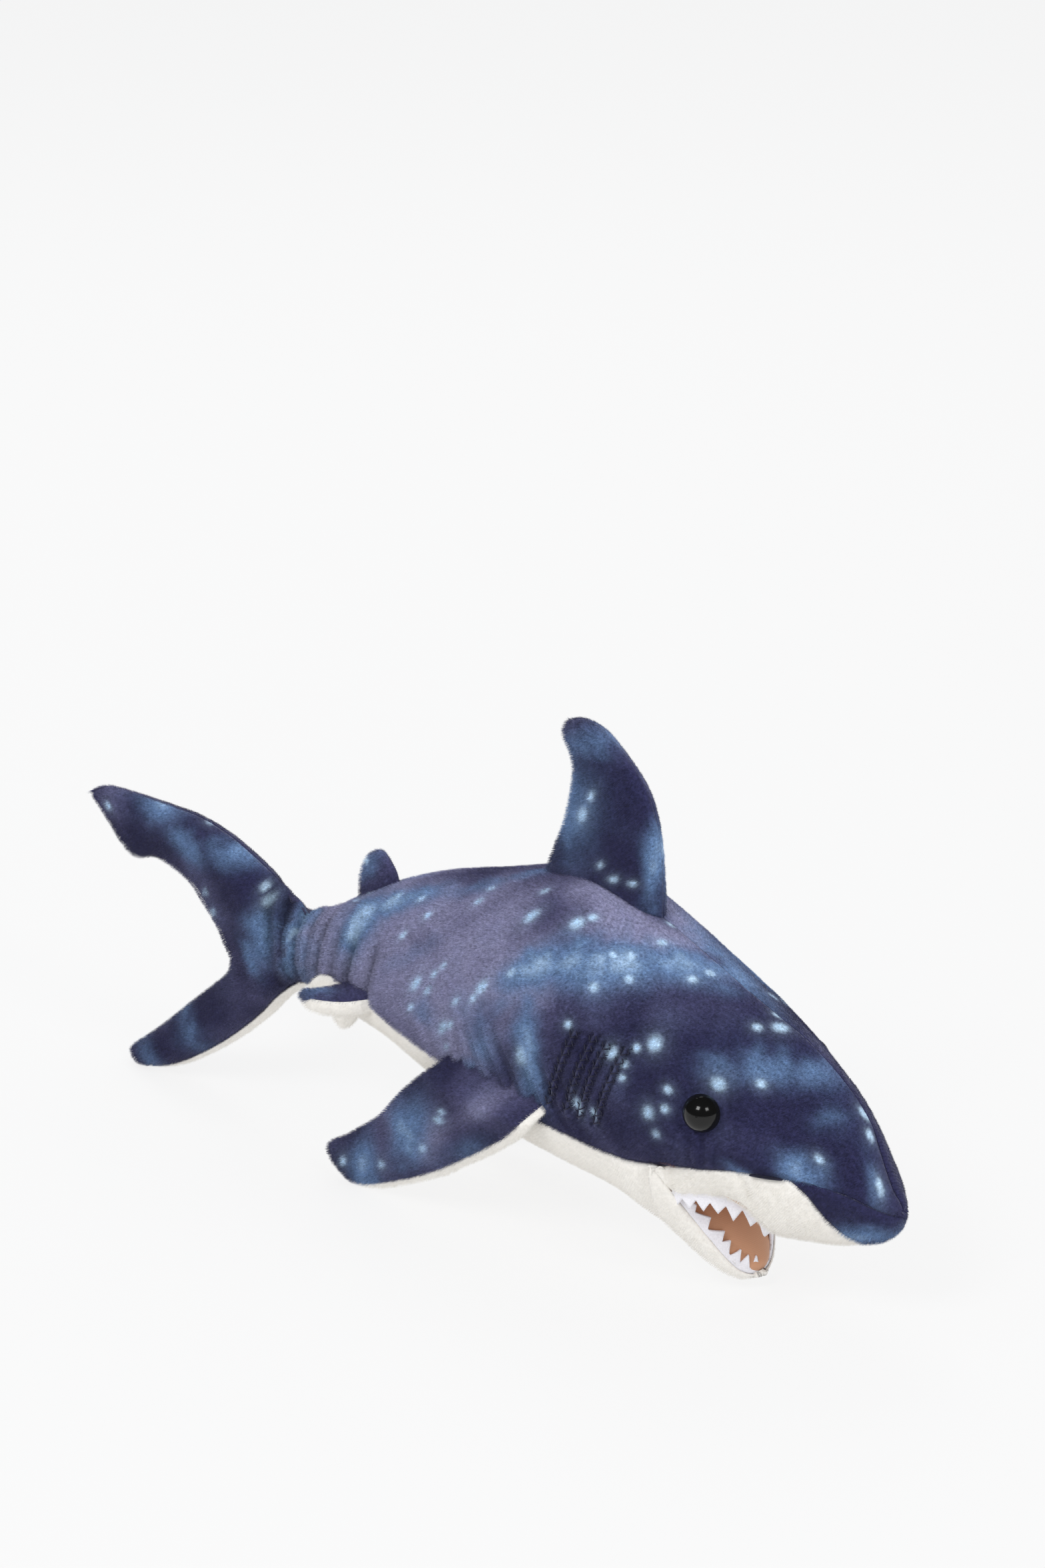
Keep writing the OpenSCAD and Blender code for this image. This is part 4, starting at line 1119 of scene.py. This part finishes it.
def fins():
    middle_fin("dorsal_skin", "dorsal_face", DORSAL_ROWS, 7.5, (66, 52), 51,
               ([(50, 165, 20, 14, 60, 0.75), (58, 192, 14, 7, 20, 0.6), (88, 160, 26, 4, 85, 0.95)],
                [(57, 165, 3.2, 60), (61, 173, 2.2, 60), (66, 148, 1.6, 40), (72, 144, 2.0, 20),
                 (80, 144, 1.8, 10)],
                [(66, 158, 26, 30, 0, -1.0)]))
    middle_fin("second_dorsal_skin", "second_dorsal", SECOND_DORSAL_ROWS, 3.5, (26, 24), 61,
               ([(-50, 118, 8, 4, 60, 0.6)], [(-52, 119, 1.6, 60)]))
    middle_fin("anal_skin", "anal_fin", ANAL_ROWS, 4.0, (20, 22), 71)
    paired_fins("pectoral", PECTORAL_ROWS, 6.3, [(80, 46), (80, 40)], 81,
                ([(-12, -24, 20, 9, 60, 1.0), (-40, -48, 15, 8, 70, 0.95), (18, -22, 16, 6, 40, 0.5)],
                 [(6, -12, 2.6, 20), (8, -8, 2, 20), (-5, -28, 2.2, 60), (-30, -44, 2.2, 70),
                  (-52, -50, 2.4, 60)],
                 # The pectoral's ground: the two raised places are a painted sheen band in lilac, the last is
                 # a darker place
                 [(16, -10, 34, 6, 35, 1.1), (-20, -28, 30, 12, 40, 1.3), (-50, -52, 14, 8, 0, -0.5)]),
                0.06, at_pectoral)
    paired_fins("pelvic", PELVIC_ROWS, 6.2, [(30, 26), (30, 26)], 91,
                ([(-20, -8, 10, 3, 20, 0.5)], []), 0.03, at_pelvic)


def tail_strip():
    rows = []
    for k in np.linspace(GUSSET_ROW + 0.25, TAIL_LAST - 0.05, 70):
        half = []
        for t in np.linspace(1, 0, 9):
            v = np.array(strip_edge(k) * t)
            plan = tail_plan(np.array(k), v)
            y = 0.0 if t == 0 else float(peduncle(plan[0], plan[1], np.array(k), v))
            half.append([plan[0], -y, plan[1]])
        rows.append(across(np.array(half)))
    grid, _ = even(rows, 17)
    piece = skin_piece("tail_strip", [part(grid)], FIN_PLUSH, CREAM, None, (0.2, 1.0),
                       (-140, 0, 60))
    add_pile(piece, CREAM_PILE, 3.5, 1.0, 44)
    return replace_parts(piece, "tail_gusset")


# ---- Thread ----
def tube(name, runs, radius, sides=6):
    """Thread along each run of points."""
    points, faces = [], []
    for run in runs:
        run = np.asarray(run, float)
        ahead = unit(np.gradient(run, axis=0))
        side = unit(np.cross(ahead, np.array([0.13, 0.31, 0.94])))
        over = np.cross(side, ahead)
        n, first = len(run), len(points)
        taper = np.ones(n)
        taper[[0, -1]] = 0.45
        for k in range(n):
            for s in range(sides):
                a = TAU * s / sides
                points.append(run[k] + radius * taper[k] * (math.cos(a) * side[k] + math.sin(a) * over[k]))
        for k in range(n - 1):
            for s in range(sides):
                a, b = first + k * sides + s, first + k * sides + (s + 1) % sides
                faces.append((a, b, b + sides, a + sides))
        faces.append(tuple(first + s for s in reversed(range(sides))))
        faces.append(tuple(first + (n - 1) * sides + s for s in range(sides)))
    return dress(add_mesh(name, np.array(points), faces), THREAD)


def on_flank(x, z, lift):
    """A place on the relief of the flank, lifted off the cloth."""
    a = side_angle(x, z)
    p = torso_at(x, a)
    e = 0.05
    along = torso_at(x + e, a) - torso_at(x - e, a)
    down = torso_at(x, a + e) - torso_at(x, a - e)
    n = unit(np.cross(down, along))
    n = np.where((n[..., 1:2] > 0), -n, n)
    return p + n * (lift + flank_relief(np.atleast_2d(p)).reshape(np.shape(x) + (1,)))


def gill_threads(side, sign):
    runs = []
    for top_x, top_z in GILL_TOPS:
        for k in range(GILL_STITCHES):
            z = top_z - (k + 0.25) * GILL_STEP
            x = top_x + GILL_SLANT * (k + 0.25) / GILL_STITCHES
            for dx in (-1.4, 1.4):
                s = np.linspace(-1, 1, 5)
                run = on_flank(x + dx + 0.35 * s, z - s * 1.15, 0.9 + 0.5 * (1 - s[:, None] ** 2))
                runs.append(run * [1, sign, 1])
            s = np.linspace(-1, 1, 6)
            run = on_flank(x + 1.4 * s, z - 1.1 + 0.3 * s, 0.7 + 0.2 * (1 - s[:, None] ** 2))
            runs.append(run * [1, sign, 1])
    piece = tube(f"gill_thread_{side}", runs, 0.27)
    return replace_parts(piece, f"gill_stitching_{side}")


def nostril_threads(side, sign):
    runs = []
    for s in np.linspace(0, 1, 24):
        x = mix(153, 163.5, s)
        tall = 0.2 + 0.55 * math.sin(math.pi * s) ** 0.7
        z = curve(SEAM, x) + 0.6 + np.linspace(-tall, tall, 5)
        arch = 0.6 + 0.55 * np.cos(np.linspace(-1.4, 1.4, 5))[:, None]
        run = on_flank(np.full(5, x) + np.linspace(-0.3, 0.3, 5), z, arch)
        runs.append(run * [1, sign, 1])
    piece = tube(f"nostril_thread_{side}", runs, 0.34)
    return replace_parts(piece, f"nostril_{side}")


# ---- Stuffing ----
def stuffing(name, node, body, seed):
    """A lumpy fibre core a little inside the CAD core."""
    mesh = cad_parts[node].data.copy()
    mesh.name = name
    mesh.materials.clear()
    piece = bpy.data.objects.new(name, mesh)
    SCENE.objects.link(piece)
    points = np.array([v.co for v in mesh.vertices])
    normals = np.array([v.normal for v in mesh.vertices])
    shift = -(0.9 + 0.6 * value_noise(points / MM, 9, seed)) * MM
    points = points + normals * shift[:, None]
    x, _, z = (points / MM - STAND).T
    if body == "torso":
        points[:, 0] -= 0.35 * MM * np.clip(x - 150, 0, None)
        points[:, 1] *= 1 - 0.35 * smooth((x - 125) / 35)
        points[:, 2] += 0.05 * MM * np.clip(80 - z, 0, None)
    if body == "tail":
        above = 0.12 * np.clip(z - 78, 0, None) + 3.5 * smooth((x + 105) / 12) * smooth((z - 78) / 8)
        points[:, 1] *= 0.6
        points[:, 2] -= MM * above
    mesh.vertices.foreach_set("co", points.ravel())
    mesh.update()
    dress(piece, FIBRE)
    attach(piece, body)
    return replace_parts(piece, node)

def build():
    for side, sign in SIDES:
        skin = side_skin(side, sign)
        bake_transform(skin)
        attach(gill_threads(side, sign), "torso")
        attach(nostril_threads(side, sign), "torso")
    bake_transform(belly_skin())
    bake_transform(throat_skin())
    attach(lip_skin(), "torso")
    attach(snout_skin(), "torso")
    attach(palate_skin(), "torso")
    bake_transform(jaw_floor())
    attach(upper_teeth(), "torso")
    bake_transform(lower_teeth())
    fins()
    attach(tail_strip(), "tail")
    for k, (kind, side, body) in enumerate([
            ("body", "", "torso"), ("jaw", "", "lower_jaw"), ("dorsal", "", "dorsal_fin"),
            ("pectoral", "_right", "pectoral_fin_right"), ("pectoral", "_left", "pectoral_fin_left"),
            ("tail", "", "tail")]):
        stuffing(f"{kind}_filling{side}", f"{kind}_stuffing{side}", body, 101 + k)
    for side, _ in SIDES:
        for node, material in ((f"eye_{side}", EYE), (f"eye_washer_{side}", WASHER)):
            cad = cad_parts[node]
            for k in range(len(cad.material_slots)):
                cad.material_slots[k].material = material


# ---- Stage, camera and light ----
def stage():
    bpy.ops.mesh.primitive_circle_add(vertices=96, radius=12, fill_type="NGON", location=(0, 0, 0))
    floor = bpy.context.object
    floor.name = "floor"
    floor.data.materials.append(grained("pale_floor", (0.12, 0.12, 0.12), 0.9, (40, 2), (0.998, 1.002),
                                        Specular_IOR_Level=0, Emission_Strength=0.815,
                                        Emission_Color=(1, 1, 1, 1)))
    world = bpy.data.worlds.new("studio")
    bpy.context.scene.world = world
    world.use_nodes = True
    set_inputs(world.node_tree.nodes["Background"], {"Color": (0.97, 0.98, 1.0, 1), "Strength": 0.72})
    world.cycles_visibility.glossy = False


def area_light(name, location, target, size, power, colour=(1, 1, 1)):
    data = bpy.data.lights.new(name, "AREA")
    data.shape = "SQUARE"
    data.size = size
    data.energy = power
    data.color = colour
    lamp = bpy.data.objects.new(name, data)
    lamp.location = location
    lamp.rotation_euler = (Vector(target) - Vector(location)).to_track_quat("-Z", "Y").to_euler()
    SCENE.objects.link(lamp)


AZIMUTH, ELEVATION = math.radians(40), math.radians(20)
BACK = Vector((math.sin(AZIMUTH) * math.cos(ELEVATION), -math.cos(AZIMUTH) * math.cos(ELEVATION),
               math.sin(ELEVATION)))


def camera():
    data = bpy.data.cameras.new("camera")
    data.lens = 100
    data.sensor_width = 36
    data.clip_end = 60
    lens = bpy.data.objects.new("camera", data)
    lens.location = (0.98852, -1.14845, 0.71359)
    lens.rotation_euler = (-BACK).to_track_quat("-Z", "Y").to_euler()
    SCENE.objects.link(lens)
    bpy.context.scene.camera = lens


camera()
build()
stage()
area_light("key", (0.2, -1.6, 1.7), (0, 0, 0.07), 0.7, 17)
area_light("fill", (1.7, -0.5, 1.5), (0.05, 0, 0.07), 0.6, 9)
area_light("rim", (-1.1, 0.9, 1.5), (0, 0, 0.08), 0.9, 8)
bpy.context.scene.view_settings.view_transform = "Standard"
